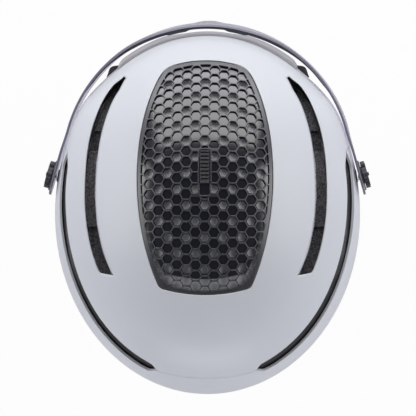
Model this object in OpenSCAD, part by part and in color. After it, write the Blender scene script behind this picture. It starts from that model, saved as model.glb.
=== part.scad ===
// Urban bicycle helmet with a clear swing-up visor, a honeycomb crown vent with a
// sliding shutter, a dial-adjusted head ring and a buckled chin strap.
// Millimetres. +X is the wearer's right, +Y the front, +Z up. The origin is at the
// centre of the head, on the widest level of the shell.

/* [Shell] */
// Outside width of the shell
shell_w = 244; // [232:1:262]
// Outside length of the shell
shell_l = 288; // [276:1:304]
// Height of the crown above the widest level
crown_h = 105; // [98:1:116]
// Thickness of the outer shells
shell_t = 2.2; // [1.6:0.1:3.2]
// Vertical radius of the part below the widest level
skirt_r = 150; // [135:1:180]
// Depth of the rim at the brow below the widest level
rim_front = 6; // [2:1:12]
// Depth of the rim at the nape below the widest level
rim_rear = 50; // [40:1:60]
// Height of the arch over each ear
ear_arch = 7; // [0:1:14]
// Height of the edge strip under the rim
edge_h = 2.6; // [1.5:0.1:4]

/* [Side slits] */
// Width of the slit between the crown shell and the lower shell
slit_w = 5.2; // [3.4:0.1:6]
// Plan size of the slit as a share of the shell along the sides
slit_share = 0.926; // [0.92:0.001:0.93]
// Plan size of the slit as a share of the shell at the nape
slit_share_rear = 0.906; // [0.9:0.001:0.912]
// Plan angle of the front end of the slit, from the ear line
slit_front = 22; // [18:1:28]

/* [Liner] */
// Thickness of shell and foam together
wall_t = 36; // [30:1:42]
// Depth of the foam channel under each side vent
channel_d = 20; // [12:1:24]

/* [Side vents] */
// Width of a side vent at its middle
vent_w = 8; // [5:0.5:11]
// Distance of the vent's middle from the centre line
vent_x = 92; // [86:1:96]

/* [Crown vent] */
// Distance from the head centre to the front edge of the honeycomb panel
panel_front = 121.6; // [112:0.2:126]
// Distance from the head centre to the rear edge of the panel
panel_rear = 63.7; // [56:0.1:72]
// Half width of the panel at its widest
panel_half = 53.6; // [48:0.2:58]
// Distance between two rows of cells
row_pitch = 8.7; // [7.5:0.1:10]
// Distance between two columns of cells
col_pitch = 7.3; // [6.5:0.1:8.5]
// Width of the walls between cells
cell_wall = 1.1; // [0.8:0.1:1.6]
// Thickness of the honeycomb grille
grille_t = 1.3; // [1.2:0.1:3.4]
// Width of the smooth band round the honeycomb
panel_rim = 3; // [2:0.1:5]
// Thickness of the sliding shutter
shutter_t = 1.2; // [0.8:0.1:2]
// Thickness of the fixed plate under the shutter
base_t = 1.6; // [1.2:0.1:2.4]
// Width over the corners of the air holes in the shutter and in the fixed plate
air_hole_d = 7; // [4:0.1:7.4]
// Length of the shutter's slider
slider_l = 27; // [20:0.5:34]
// Width of the shutter's slider
slider_w = 7.3; // [5:0.1:9]

/* [Brow] */
// How far the brow strip stands out from the shell at the centre
brow_lip = 2.6; // [1:0.1:2.8]
// How far the brow strip stands out from the shell at the sides, below the visor's seal
brow_side = 4.5; // [2:0.1:4.6]
// Height of the top of the brow strip above the widest level
brow_top = 13.5; // [9:0.5:16]

/* [Visor] */
// How far the visor's plan radius falls short of the shell's half width
visor_inset = 4.4; // [1:0.1:5.4]
// How far the visor stands out in front of the shell
visor_proud = 10.4; // [9.4:0.1:13.6]
// How far the upper edge leans in from the lower edge
visor_lean = 2; // [0:0.1:2.4]
// Thickness of the visor
visor_t = 2; // [1.6:0.1:2.4]
// Height of the upper edge above the widest level
visor_top = 18; // [14:0.5:22]
// Depth of the lower edge below the widest level
visor_low = 75; // [60:1:90]
// Radius of the nose arch in the lower edge
nose_r = 27; // [20:1:34]
// Distance of the pivots in front of the head centre
pivot_y = 30.4; // [28:0.2:34]
// Height of the pivots above the widest level
pivot_z = 6; // [4:0.5:9]
// Gap between the shell and the inner face of the visor's ear
ear_gap = 1.9; // [1.7:0.1:2.6]
// Radius of the visor's ears
ear_r = 15.5; // [13:0.5:16]
// Plan angle at which the curved film ends and the flat arms begin
arm_az = 16; // [14:0.5:18]
// Diameter of the pivot's bearing
bearing_d = 7; // [5:0.1:8]

/* [Knobs] */
// Diameter over the lobes of a side knob
knob_d = 24; // [20:0.5:26]
// Height of a side knob
knob_h = 3.9; // [3.4:0.1:6]
// Number of lobes
knob_lobes = 6; // [4:1:9]

/* [Head ring] */
// Gap between the foam and the head ring
ring_gap = 4.5; // [3.5:0.1:6]
// Height of the head ring's band
ring_h = 13; // [10:0.5:18]
// Thickness of the head ring's band
ring_t = 1.5; // [1.2:0.1:2]
// Plan radius of the racks behind the head
rack_r = 66; // [62:0.5:70]
// Height of the dial's axis below the widest level
dial_drop = 62; // [58:0.5:68]
// Diameter of the adjusting dial
dial_d = 32; // [26:0.5:36]
// Radius of the pinion's pitch circle
pinion_r = 5; // [4.5:0.1:6]

/* [Pads] */
// Thickness of the pads at their crown
pad_t = 7; // [4:0.5:8]

/* [Straps] */
// Width of the webbing
strap_w = 15; // [12:0.5:16]
// Thickness of the webbing
strap_t = 1.8; // [1.2:0.1:2.4]
// Depth of the strap dividers below the widest level
divider_drop = 96; // [90:1:104]
// Depth of the buckle below the widest level
chin_drop = 168; // [158:1:180]
// Length of the buckle's socket
buckle_l = 34; // [30:0.5:42]
// Width of the buckle
buckle_w = 26; // [24:0.5:32]
// Height of the buckle
buckle_h = 9; // [8:0.5:12]

/* [Clearances] */
// Gap between two pieces that lie on each other
seat_gap = 0.15; // [0.1:0.05:0.3]
// Gap that leaves room for the facets of two curved faces
facet_gap = 0.8; // [0.7:0.05:1]
// Gap between pieces that slide past each other
slide_gap = 0.4; // [0.3:0.05:0.6]
// Radial gap of a running fit
run_gap = 0.05; // [0.03:0.01:0.08]

/* [Hidden] */
$fn = 48;
columns = 54;
half_w = shell_w / 2;
half_l = shell_l / 2;
visor_r = half_w - visor_inset;
visor_y = half_l + visor_proud - visor_r;
foam_off = shell_t + facet_gap;
ring_off = wall_t + ring_gap;

// The skin: an ellipsoid above the widest level and a rounder skirt below it.
function skin(az, e, off) = [
    (half_w - off) * cos(e) * cos(az),
    (half_l - off) * cos(e) * sin(az),
    (e >= 0 ? crown_h - off : skirt_r - off) * sin(e)];
function skin_z(x, y, off) =
    (crown_h - off) * sqrt(max(0, 1 - pow(x / (half_w - off), 2) - pow(y / (half_l - off), 2)));
function skin_x(y, z, off) =
    (half_w - off) * sqrt(1 - pow(y / (half_l - off), 2) - pow(z / (crown_h - off), 2));
function blend(t) = t <= 0 ? 0 : t >= 1 ? 1 : t * t * (3 - 2 * t);
function mix(a, b, t) = a + (b - a) * t;
function bezier(p, t) =
    pow(1 - t, 3) * p[0] + 3 * t * pow(1 - t, 2) * p[1] + 3 * t * t * (1 - t) * p[2] + pow(t, 3) * p[3];
function flat(rows) = [for (row = rows) for (p = row) p];

// The rim: its depth runs from brow to nape, with an arch over each ear.
ear_az = -8;
ear_spread = 20;
function from_rear(az) = abs(((az % 360) + 360) % 360 - 270) > 180
    ? 360 - abs(((az % 360) + 360) % 360 - 270) : abs(((az % 360) + 360) % 360 - 270);
function rim_depth(az) =
    mix(rim_rear, rim_front, pow(blend(from_rear(az) / 180), 0.9))
    - ear_arch * exp(-pow((from_rear(az) - 90 - ear_az) / ear_spread, 2));
function rim_e(az) = -asin(rim_depth(az) / skirt_r);

// The slit: its plan share of the shell, from the nape to its front end.
slit_end = 90 + slit_front;
slit_tip_share = 0.972;
slit_straight = 50;
rear_join = 28;
slit_tail = 20;
slit_nose_run = 7;
slit_tail_run = 4;
seam_share = 0.0015;
function slit_mid(w) = w < rear_join
    ? mix(slit_share_rear, slit_share, blend(w / rear_join))
    : slit_share + (slit_tip_share - slit_share) * pow(max(0, (w - slit_end + slit_straight) / slit_straight), 2);
function slit_half(w) = seam_share
    + slit_w / shell_w * blend((slit_end - w) / slit_nose_run) * blend((w - slit_tail) / slit_tail_run);
function slit_e(az, side) = acos(slit_mid(from_rear(az)) + side * slit_half(from_rear(az)));

// A solid between two grids of points; index i runs round, index j runs down.
module grid_solid(outer, inner, closed = false, capped = false) {
    n = len(outer);
    m = len(outer[0]);
    last = closed ? n - 1 : n - 2;
    function o(i, j) = (i % n) * m + j;
    function p(i, j) = n * m + (i % n) * m + j;
    function quad(a, b, c, d) = [[a, b, c], [a, c, d]];
    sides = [for (i = [0:last], j = [0:m - 2]) each concat(
        quad(o(i, j), o(i + 1, j), o(i + 1, j + 1), o(i, j + 1)),
        quad(p(i, j), p(i, j + 1), p(i + 1, j + 1), p(i + 1, j)))];
    low = [for (i = [0:last]) each quad(o(i, m - 1), o(i + 1, m - 1), p(i + 1, m - 1), p(i, m - 1))];
    high = capped
        ? [[for (i = [n - 1:-1:0]) o(i, 0)], [for (i = [0:n - 1]) p(i, 0)]]
        : [for (i = [0:last]) each quad(o(i + 1, 0), o(i, 0), p(i, 0), p(i + 1, 0))];
    ends = closed ? [] : [for (j = [0:m - 2]) each concat(
        quad(o(0, j), o(0, j + 1), p(0, j + 1), p(0, j)),
        quad(o(n - 1, j + 1), o(n - 1, j), p(n - 1, j), p(n - 1, j + 1)))];
    polyhedron(concat(flat(outer), flat(inner)), concat(sides, low, high, ends), convexity = 6);
}

// A piece of wall that follows the skin between two elevations.
module patch(azs, rows, top, low, out, in, closed = false, capped = false) {
    function side(off) = [for (az = azs) [for (j = [0:rows])
        skin(az, mix(top(az), low(az), j / rows), off(az, j / rows))]];
    grid_solid(side(out), side(in), closed, capped);
}
function steps(a, b, n) = [for (i = [0:n]) mix(a, b, i / n)];
round_azs = [for (i = [0:columns - 1]) i * 360 / columns];

// Side vents: one curved slot, pointed at the front.
vent_front = [64.5, 108.5];
vent_rear = [79, -48];
vent_line = [vent_front, [vent_x + 7, 66], [vent_x + 6.5, -11.5], vent_rear];
vent_parts = 7;
function vent_r(t) = max(1, vent_w / 2 * min(1, 0.45 + 0.9 * t) * min(1, 8 * t + 0.2));
module side_vent_cut(extra, depth) {
    for (side = [-1, 1], i = [0:vent_parts - 1]) hull() for (k = [i, i + 1]) {
        t = k / vent_parts;
        c = bezier(vent_line, t);
        translate([side * c.x, c.y, skin_z(c.x, c.y, 0) - depth])
            cylinder(h = depth + 30, r = vent_r(t) + extra, $fn = 12);
    }
}

// Crown vent: every layer is a solid of revolution about one cross axis.
cross_r = 135.7;
wrap_drop = 73.2;
wrap_r = crown_h + wrap_drop;
row_angle = row_pitch / wrap_r * 180 / PI;
row_start = 7.2 / wrap_r * 180 / PI;
panel_corner = 32.4;
panel_tail = 36;
end_rise = 5.3;
function panel_side(d) = [
    [panel_corner - d, panel_front - end_rise - d], [panel_half + 8 - d, 70],
    [panel_half + 5 - d, -9.4], [panel_tail - d, end_rise - panel_rear + d]];
function panel_edge(d) = let (
    s = [for (i = [0:14]) bezier(panel_side(d), i / 14)],
    front = [for (f = [-0.8:0.2:0.8]) [f * s[0].x, panel_front - d - end_rise * f * f]],
    rear = [for (f = [0.8:-0.2:-0.8]) [f * s[14].x, d - panel_rear + end_rise * f * f]])
    concat(front, s, rear, [for (i = [14:-1:0]) [-s[i].x, s[i].y]]);
function wrap_profile(x) = wrap_r - cross_r + sqrt(cross_r * cross_r - x * x);
module wrap_slab(d0, d1, half, a0, a1, n = 5) {
    translate([0, 0, -wrap_drop]) rotate([0, -90, 0]) rotate([0, 0, a0])
        rotate_extrude(angle = a1 - a0, $fn = 60) polygon(concat(
            [for (i = [-n:n]) [wrap_profile(half * i / n) - d0, half * i / n]],
            [for (i = [n:-1:-n]) [wrap_profile(half * i / n) - d1, half * i / n]]));
}
module at_cell(k, row, r) {
    translate([k * col_pitch, 0, -wrap_drop]) rotate([-row_start - row * row_angle, 0, 0])
        translate([0, 0, r]) children();
}
function column_shift(k) = k % 2 == 0 ? 0 : 0.5;
module panel_prism(d) linear_extrude(crown_h + 30) polygon(panel_edge(d));
layer_1 = grille_t;
layer_2 = layer_1 + slide_gap;
layer_3 = layer_2 + shutter_t;
layer_4 = layer_3 + slide_gap;
layer_5 = layer_4 + base_t;
slab_half = panel_half + 4;
slab_a0 = -24;
slab_a1 = 46;
tray_rim = 2;
slider_row = 3.5;
slot_rim = 1.2;
slot_gap = 0.5;

module shell_part(azs, low) {
    patch(azs, 12, function (az) 70, low, function (az, s) 0, function (az, s) shell_t);
}
module crown_shell() {
    color([0.88, 0.9, 0.92]) difference() {
        union() {
            shell_part(steps(slit_front, 180 - slit_front, 26), function (az) rim_e(az));
            shell_part(steps(180 - slit_front - 0.6, 360 + slit_front + 0.6, 46),
                function (az) slit_e(az, -1));
        }
        side_vent_cut(0, 30);
        panel_prism(-seat_gap);
    }
}

module lower_shell() {
    color([0.86, 0.88, 0.9]) patch(
        steps(180 - slit_front + 0.8, 360 + slit_front - 0.8, 46), 4,
        function (az) slit_e(az, 1), function (az) rim_e(az),
        function (az, s) 0, function (az, s) shell_t);
}

port_w = 16;
port_h = 9;
module eps_liner() {
    color([0.14, 0.14, 0.15]) difference() {
        patch(round_azs, 10, function (az) 84, function (az) rim_e(az),
            function (az, s) foam_off, function (az, s) wall_t, closed = true, capped = true);
        side_vent_cut(0.6, channel_d);
        intersection() {
            wrap_slab(-8, layer_5 + facet_gap, slab_half, slab_a0, slab_a1);
            panel_prism(-1.2);
        }
        for (side = [-1, 1], y = [-18, 22, 58])
            translate([side * (vent_x - 18), y, skin_z(vent_x, y, 0) - channel_d + port_h / 2])
                cube([44, port_w, port_h], center = true);
        for (side = [-1, 1], p = [front_anchor, rear_anchor])
            translate([side * p.x, p.y, p.z - rim_rear])
                cylinder(h = rim_rear + anchor_t + seat_gap, r = anchor_r + slide_gap, $fn = 16);
        for (x = [-36, -12, 12, 36], y = [-24, 22, 66])
            translate([x, y, 60]) linear_extrude(60) scale([1, 2.4]) circle(r = 6.5, $fn = 10);
    }
}

brow_half = 36;
function brow_out(az) = let (d = abs(az - 90))
    0.8 + (mix(brow_lip, brow_side, blend((d - 8) / 9)) - 0.8) * pow(max(0, min(1, (brow_half - d) / 7)), 0.6);
module brow_trim() {
    color([0.62, 0.61, 0.6]) patch(steps(90 - brow_half, 90 + brow_half, 18), 3,
        function (az) asin(brow_top / crown_h), function (az) rim_e(az),
        function (az, s) -brow_out(az),
        function (az, s) -0.3);
}

seal_half = 41;
function seal_out(az) = 0.9 + 1.5 * exp(-pow((abs(az - 90) - seal_half + 4) / 3.2, 2));
module brow_seal() {
    color([0.09, 0.08, 0.08]) patch(steps(90 - seal_half, 90 + seal_half, 24), 1,
        function (az) rim_e(az) - 0.12, function (az) rim_e(az) - 1.5,
        function (az, s) -seal_out(az), function (az, s) shell_t);
}

module rim_trim() {
    edge_e = edge_h / skirt_r * 180 / PI;
    color([0.1, 0.1, 0.11]) patch(
        steps(180 - slit_front - 26, 360 + slit_front + 26, 46), 1,
        function (az) rim_e(az) - 0.12, function (az) rim_e(az) - edge_e,
        function (az, s) 0.3, function (az, s) 7);
}

// The panel is a grille of hexagonal cells, all open, inside a smooth band.
cell_r = (row_pitch - cell_wall) / sqrt(3);
max_col = floor((panel_half - panel_rim) / col_pitch + 0.5);
min_row = floor(-panel_rear / row_pitch) - 2;
max_row = ceil(panel_front / row_pitch) + 1;
slot_half_w = slider_w / 2 + slot_gap;
slider_mid = slider_row * row_angle + row_start;
slider_half_a = slider_l / 2 / wrap_r * 180 / PI;
slot_gap_a = slot_gap / wrap_r * 180 / PI;
rim_a = slot_rim / wrap_r * 180 / PI;
module slot_sector(d0, d1, grow_w, grow_a) {
    wrap_slab(d0, d1, slot_half_w + grow_w,
        slider_mid - slider_half_a - row_angle - slot_gap_a - grow_a,
        slider_mid + slider_half_a + slot_gap_a + grow_a, 1);
}
module vent_grille() {
    color([0.3, 0.3, 0.32]) difference() {
        intersection() {
            wrap_slab(0, layer_1, slab_half, slab_a0, slab_a1);
            panel_prism(0);
        }
        difference() {
            intersection() {
                union() for (k = [-max_col:max_col], row = [min_row:max_row])
                    at_cell(k, row + column_shift(k), wrap_r - 24)
                        cylinder(h = 30, r = cell_r, $fn = 6);
                panel_prism(panel_rim);
            }
            slot_sector(-4, 12, slot_rim, rim_a);
        }
        slot_sector(-4, 12, 0, 0);
    }
}

// The air holes lie under every third cell of a column.
module air_holes(front_inset, rear_inset) {
    half = panel_half - panel_rim - 3;
    for (k = [-max_col:max_col], trio = [-4:6]) {
        row = 3 * trio + 3 * column_shift(k);
        y = wrap_r * sin(row_start + row * row_angle);
        edge = panel_rim + air_hole_d / 2 + 1.5;
        fits = y < panel_front - end_rise - edge - front_inset && y > edge + rear_inset - panel_rear
            && abs(k) * col_pitch < hole_reach(y) - edge
            && !(k == 0 && abs(row - slider_row + 0.5) < slider_l / row_pitch / 2 + 0.6);
        if (fits) at_cell(k, row, wrap_r - 26) cylinder(h = 34, d = air_hole_d, $fn = 6);
    }
}
function hole_reach(y) = let (
    s = [for (i = [0:28]) bezier(panel_side(0), i / 28)],
    near = [for (p = s) if (p.y >= y) p])
    near[len(near) - 1].x;
module vent_base() {
    color([0.12, 0.12, 0.13]) difference() {
        intersection() {
            wrap_slab(layer_1 + seat_gap, layer_5, slab_half, slab_a0, slab_a1);
            panel_prism(0.4);
        }
        intersection() {
            wrap_slab(-2, layer_4, slab_half, slab_a0, slab_a1);
            panel_prism(tray_rim + 0.4);
        }
        air_holes(0, 0);
    }
}
net_t = 0.4;
module vent_net() {
    color([0.72, 0.74, 0.75]) intersection() {
        wrap_slab(layer_5 + seat_gap, layer_5 + seat_gap + net_t, slab_half, slab_a0, slab_a1);
        panel_prism(0.6);
    }
}
module shutter_plate() {
    inset = tray_rim + 0.4 + slide_gap;
    color([0.07, 0.08, 0.1]) difference() {
        intersection() {
            wrap_slab(layer_2, layer_3, slab_half, slab_a0, slab_a1);
            panel_prism(inset);
            translate([0, row_pitch + slide_gap, 0]) panel_prism(inset);
        }
        air_holes(0, row_pitch);
    }
}
slider_ribs = 9;
slider_up = 0.9;
slider_seat = 0.16;
module shutter_slider() {
    color([0.05, 0.05, 0.06]) {
        wrap_slab(-slider_up, layer_2 - slider_seat, slider_w / 2,
            slider_mid - slider_half_a, slider_mid + slider_half_a, 1);
        for (i = [0:slider_ribs - 1]) {
            a = slider_mid + slider_half_a * (2 * (i + 0.5) / slider_ribs - 1);
            wrap_slab(-slider_up - 0.9, -slider_up + 0.3, slider_w / 2 - 0.4, a - 0.22, a + 0.22, 1);
        }
    }
}

// Visor: a band of revolution about an upright axis, with flat arms to the ears.
pivot_x = skin_x(pivot_y, pivot_z, 0);
ear_x = pivot_x + ear_gap + visor_t / 2;
film_top_r = visor_r - visor_lean;
function film_r(z) = let (f = (visor_top - z) / (visor_top + visor_low))
    mix(film_top_r, visor_r, sin(f * 90));
arm_start = [film_top_r * cos(arm_az), visor_y + film_top_r * sin(arm_az)];
arm_l = norm(arm_start - [ear_x, pivot_y]);
arm_dir = atan2(arm_start.x - ear_x, arm_start.y - pivot_y);
arm_low = 38;
module film_band(r_in, r_out, z0, z1) {
    n = 6;
    zs = [for (i = [0:n]) mix(z0, z1, i / n)];
    translate([0, visor_y, 0]) rotate([0, 0, arm_az]) rotate_extrude(angle = 180 - 2 * arm_az, $fn = 96)
        polygon(concat(
            [for (z = zs) [film_r(z) - r_in, z]],
            [for (i = [n:-1:0]) [film_r(zs[i]) - r_out, zs[i]]]));
}
module ear_frame(side) {
    mirror([side < 0 ? 1 : 0, 0, 0]) translate([ear_x, pivot_y, pivot_z])
        rotate([0, 0, -arm_dir]) rotate([0, 90, 0]) children();
}
module axis_frame(side) {
    mirror([side < 0 ? 1 : 0, 0, 0]) translate([0, pivot_y, pivot_z]) rotate([0, 90, 0]) children();
}
hub_r = 6.5;
module visor_arm(side) {
    mirror([side < 0 ? 1 : 0, 0, 0]) translate([ear_x, pivot_y, pivot_z]) rotate([90, 0, 90 - arm_dir])
        translate([0, 0, -visor_t / 2]) linear_extrude(visor_t) union() {
            circle(r = ear_r);
            polygon([[0, visor_top - 1 - pivot_z], [arm_l + 1, visor_top - 1 - pivot_z],
                [arm_l + 1, -arm_low - pivot_z], [arm_l * 0.8, -22 - pivot_z], [arm_l * 0.55, -11 - pivot_z],
                [arm_l * 0.25, -ear_r + 1.5], [0, -ear_r + 0.3]]);
        }
}
module visor_lens() {
    color([0.8, 0.78, 0.85, 0.45]) difference() {
        union() {
            intersection() {
                film_band(visor_t, 0, -visor_low, visor_top);
                rotate([90, 0, 90]) translate([0, 0, -shell_w]) linear_extrude(2 * shell_w) polygon([
                    [arm_start.y - 4, visor_top - 1], [arm_start.y + 20, visor_top],
                    [visor_y + visor_r + 5, visor_top], [visor_y + visor_r + 5, -visor_low],
                    [arm_start.y + 38, -visor_low], [arm_start.y + 22, -visor_low * 0.9],
                    [arm_start.y + 9, -visor_low * 0.7], [arm_start.y, -arm_low],
                    [arm_start.y - 4, -arm_low + 6]]);
            }
            for (side = [-1, 1]) visor_arm(side);
        }
        translate([0, visor_y, -visor_low - nose_r * 0.45]) rotate([-90, 0, 0])
            cylinder(h = visor_r + 20, r = nose_r);
        for (side = [-1, 1]) ear_frame(side)
            translate([0, 0, -visor_t * 2]) cylinder(h = visor_t * 4, r = hub_r);
    }
}
gasket_t = 2;
gasket_h = 6.5;
notch_half = 17;
module visor_gasket() {
    color([0.06, 0.06, 0.08]) difference() {
        intersection() {
            film_band(visor_t + gasket_t, visor_t + 0.02, visor_top - gasket_h, visor_top - 0.4);
            translate([-visor_r * 0.9, visor_y + 50, -50]) cube([visor_r * 1.8, visor_r, 100]);
        }
        intersection() {
            film_band(visor_t + gasket_t + 3, visor_t + 1, -visor_low, visor_top + 5);
            translate([-notch_half, 0, -50]) cube([2 * notch_half, 200, 100]);
        }
    }
}
flange_r = 12.2;
flange_t = 1.1;
collar_r = 7;
collar_top = 4.6;
head_r = 4.4;
head_t = 1.6;
head_x = ear_x + 1.1;
module visor_hub(side) {
    color([0.13, 0.13, 0.15]) difference() {
        union() {
            ear_frame(side) translate([0, 0, -visor_t / 5]) cylinder(h = visor_t + 0.4, r = hub_r - 0.02);
            ear_frame(side) translate([0, 0, visor_t / 2 + 0.02]) cylinder(h = flange_t, r = flange_r);
            ear_frame(side) cylinder(h = collar_top, r = collar_r);
        }
        ear_frame(side) translate([0, 0, -visor_t / 2 - 1]) difference() {
            cylinder(h = visor_t + 1, r = flange_r + 3);
            translate([0, 0, -1]) cylinder(h = visor_t + 3, r = hub_r - 0.02);
        }
        axis_frame(side) translate([0, 0, ear_x - 12]) cylinder(h = 24, d = bearing_d + 2 * run_gap);
        axis_frame(side) translate([0, 0, head_x - 0.3]) cylinder(h = 12, r = head_r + 0.5);
    }
}
base_pad_r = 5;
base_pad_t = 0.5;
skin_tilt = atan2(pivot_y / pow(half_l, 2), pivot_x / pow(half_w, 2));
module pivot_base(side) {
    color([0.1, 0.1, 0.11]) mirror([side < 0 ? 1 : 0, 0, 0]) {
        translate([pivot_x, pivot_y, pivot_z]) rotate([0, 0, skin_tilt]) rotate([0, 90, 0])
            translate([0, 0, seat_gap]) cylinder(h = base_pad_t, r = base_pad_r);
    }
}
module pivot_screw(side) {
    color([0.55, 0.56, 0.58]) axis_frame(side) {
        translate([0, 0, pivot_x + base_pad_t + 0.9])
            cylinder(h = head_x - pivot_x - base_pad_t - 0.9, d = bearing_d);
        translate([0, 0, head_x]) difference() {
            cylinder(h = head_t, r = head_r);
            translate([0, 0, head_t - 0.8]) cylinder(h = 2, r = 2, $fn = 6);
        }
    }
}
knob_z0 = visor_t / 2 + flange_t + slide_gap;
lobe_r = 3.4;
module side_knob(side) {
    color([0.16, 0.16, 0.18]) ear_frame(side) difference() {
        translate([0, 0, knob_z0]) union() {
            cylinder(h = knob_h, r = knob_d / 2 - 2.6);
            for (i = [0:knob_lobes - 1]) rotate([0, 0, i * 360 / knob_lobes])
                translate([knob_d / 2 - lobe_r, 0, 0]) cylinder(h = knob_h - 0.3, r = lobe_r);
            translate([4.5, 0, knob_h - 0.1]) cylinder(h = 1.1, r = 1.5);
        }
        translate([0, 0, knob_z0 - 1])
            cylinder(h = collar_top + slide_gap - knob_z0 + 1, r = collar_r + run_gap);
        translate([0, 0, knob_z0 + knob_h - 0.8]) cylinder(h = 2, r = 2.4);
    }
}

// Head ring: a band that drops from the brow to the nape.
ring_w = half_w - ring_off;
ring_l = half_l - ring_off;
rack_inset = 3.1;
ring_level = 7;
rack_mid = [0, rack_r - ring_l + rack_inset];
ring_end = 38;
rack_end = 54;
function ring_z(az) = mix(-dial_drop, ring_level, blend((from_rear(az) - 30) / 75));
function ring_pt(az, in) = [(ring_w - in) * cos(az), (ring_l - in) * sin(az), ring_z(az)];
module head_ring() {
    azs = steps(270 + ring_end, 270 - ring_end + 360, 34);
    function side(in) = [for (az = azs) [for (j = [-1, 1]) ring_pt(az, in) - [0, 0, j * ring_h / 2]]];
    color([0.12, 0.12, 0.13]) grid_solid(side(0), side(ring_t));
}
clip_w = 10;
module ring_clips() {
    wall = wall_t + facet_gap;
    color([0.2, 0.2, 0.21]) for (az = [30, 90, 150]) {
        a = ring_pt(az, 0);
        out = [cos(az) / ring_w, sin(az) / ring_l];
        top = a.z + ring_h * 0.3;
        lift = sqrt(1 - pow(top / (crown_h - wall), 2));
        reach = norm([(half_w - wall) * cos(az), (half_l - wall) * sin(az)]) * lift - norm([a.x, a.y]);
        translate(a) rotate([0, 0, atan2(out.y, out.x)])
            translate([0.3, -clip_w / 2, -ring_h / 2]) cube([reach - 0.7, clip_w, ring_h * 0.8]);
    }
}

// Racks and dial: the racks are arcs behind the head, the pinion runs between them.
rack_w = 1.8;
tooth_n = 10;
rack_bar = 3;
module rear_frame() translate([0, rack_mid.y, -dial_drop]) children();
module arc_bar(r0, r1, z0, z1, a0, a1) {
    rotate([0, 0, 270 + a0]) rotate_extrude(angle = a1 - a0, $fn = 96)
        translate([r0, z0]) square([r1 - r0, z1 - z0]);
}
tooth_pitch = 2 * PI * pinion_r / tooth_n;
tooth_a = tooth_pitch / rack_r * 180 / PI;
tooth_up = 0.8;
tooth_down = 1.3;
module rack_tooth() {
    base = tooth_pitch * 0.49;
    tip = tooth_pitch * 0.2;
    rotate([90, 0, 0]) linear_extrude(rack_w, center = true) polygon([
        [-base / 2, 0], [base / 2, 0],
        [tip / 2, tooth_up + tooth_down + 0.1], [-tip / 2, tooth_up + tooth_down + 0.1]]);
}
module rack(side) {
    lo = pinion_r + tooth_down - 0.1;
    color([0.2, 0.2, 0.22]) rear_frame() mirror([side < 0 ? 1 : 0, 0, 0]) {
        arc_bar(rack_r - rack_w / 2, rack_r + rack_w / 2, lo * side + (side < 0 ? -rack_bar : 0),
            lo * side + (side > 0 ? rack_bar : 0), -10, rack_end);
        for (i = [-3:6]) rotate([0, 0, 270 + i * tooth_a]) translate([rack_r, 0, (lo + 0.2) * side])
            rotate([side > 0 ? 180 : 0, 0, 0]) rotate([0, 0, 90]) rack_tooth();
    }
}
shaft_r = 2.6;
pinion_w = 3;
module dial_axis() rear_frame() translate([0, -rack_r, 0]) rotate([90, 0, 0]) children();
module dial_pinion() {
    color([0.75, 0.75, 0.72]) dial_axis() translate([0, 0, -pinion_w / 2]) difference() {
        union() {
            cylinder(h = pinion_w, r = pinion_r - 1.2);
            for (i = [0:tooth_n - 1]) rotate([0, 0, i * 360 / tooth_n]) linear_extrude(pinion_w) polygon([
                [pinion_r - 1.6, -0.75], [pinion_r, -0.52], [pinion_r + tooth_up, -0.3],
                [pinion_r + tooth_up, 0.3], [pinion_r, 0.52], [pinion_r - 1.6, 0.75]]);
        }
        translate([0, 0, -1]) cylinder(h = pinion_w + 2, r = shaft_r);
    }
}
house_in = 3.4;
house_out = 3.8;
house_h = 26;
house_a = 30;
dial_gap = 0.5;
dial_t = 9;
module dial_housing() {
    color([0.13, 0.13, 0.14]) difference() {
        rear_frame() arc_bar(rack_r - house_in, rack_r + house_out,
            -house_h / 2, house_h / 2, -house_a, house_a);
        rear_frame() arc_bar(rack_r - rack_w / 2 - slide_gap, rack_r + rack_w / 2 + slide_gap,
            -pinion_r - tooth_down - rack_bar - slide_gap, pinion_r + tooth_down + rack_bar + slide_gap,
            -house_a - 5, house_a + 5);
        dial_axis() translate([0, 0, -2]) cylinder(h = 4, r = pinion_r + tooth_up + slide_gap);
        dial_axis() cylinder(h = 20, r = shaft_r + run_gap);
    }
}
grip_n = 14;
module adjust_dial() {
    color([0.1, 0.1, 0.11]) dial_axis() difference() {
        union() {
            translate([0, 0, -pinion_w / 2])
                cylinder(h = house_out + dial_gap + pinion_w / 2 + 1, r = shaft_r - 0.01);
            translate([0, 0, house_out + dial_gap]) cylinder(h = dial_t, d = dial_d);
        }
        for (i = [0:grip_n - 1]) rotate([0, 0, i * 360 / grip_n])
            translate([dial_d / 2 + 0.9, 0, house_out]) cylinder(h = dial_t + 2, r = 2.2);
        translate([0, 0, house_out + dial_gap + dial_t - 1.2]) cylinder(h = 3, d = dial_d - 9);
    }
}
hanger_x = 13;
hanger_t = 2;
hanger_off = wall_t + 4.8;
module rear_hanger() {
    y0 = rack_mid.y - rack_r + house_in;
    z0 = -dial_drop + house_h / 2 + seat_gap;
    function wall_pt(e, off) = let (p = skin(270, e, off)) [p.y, p.z];
    outer = [for (e = [-16, -11, -5, 2]) wall_pt(e, hanger_off)];
    inner = [for (e = [2, -5, -11, -16]) wall_pt(e, hanger_off + hanger_t)];
    color([0.13, 0.13, 0.14]) for (side = [-1, 1]) translate([side * hanger_x - 4, 0, 0])
        rotate([90, 0, 90]) linear_extrude(8)
            polygon(concat([[y0 - 3, z0], [y0 - 3, z0 + 1.5]], outer, inner, [[y0, z0 + 2], [y0, z0]]));
}

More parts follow.
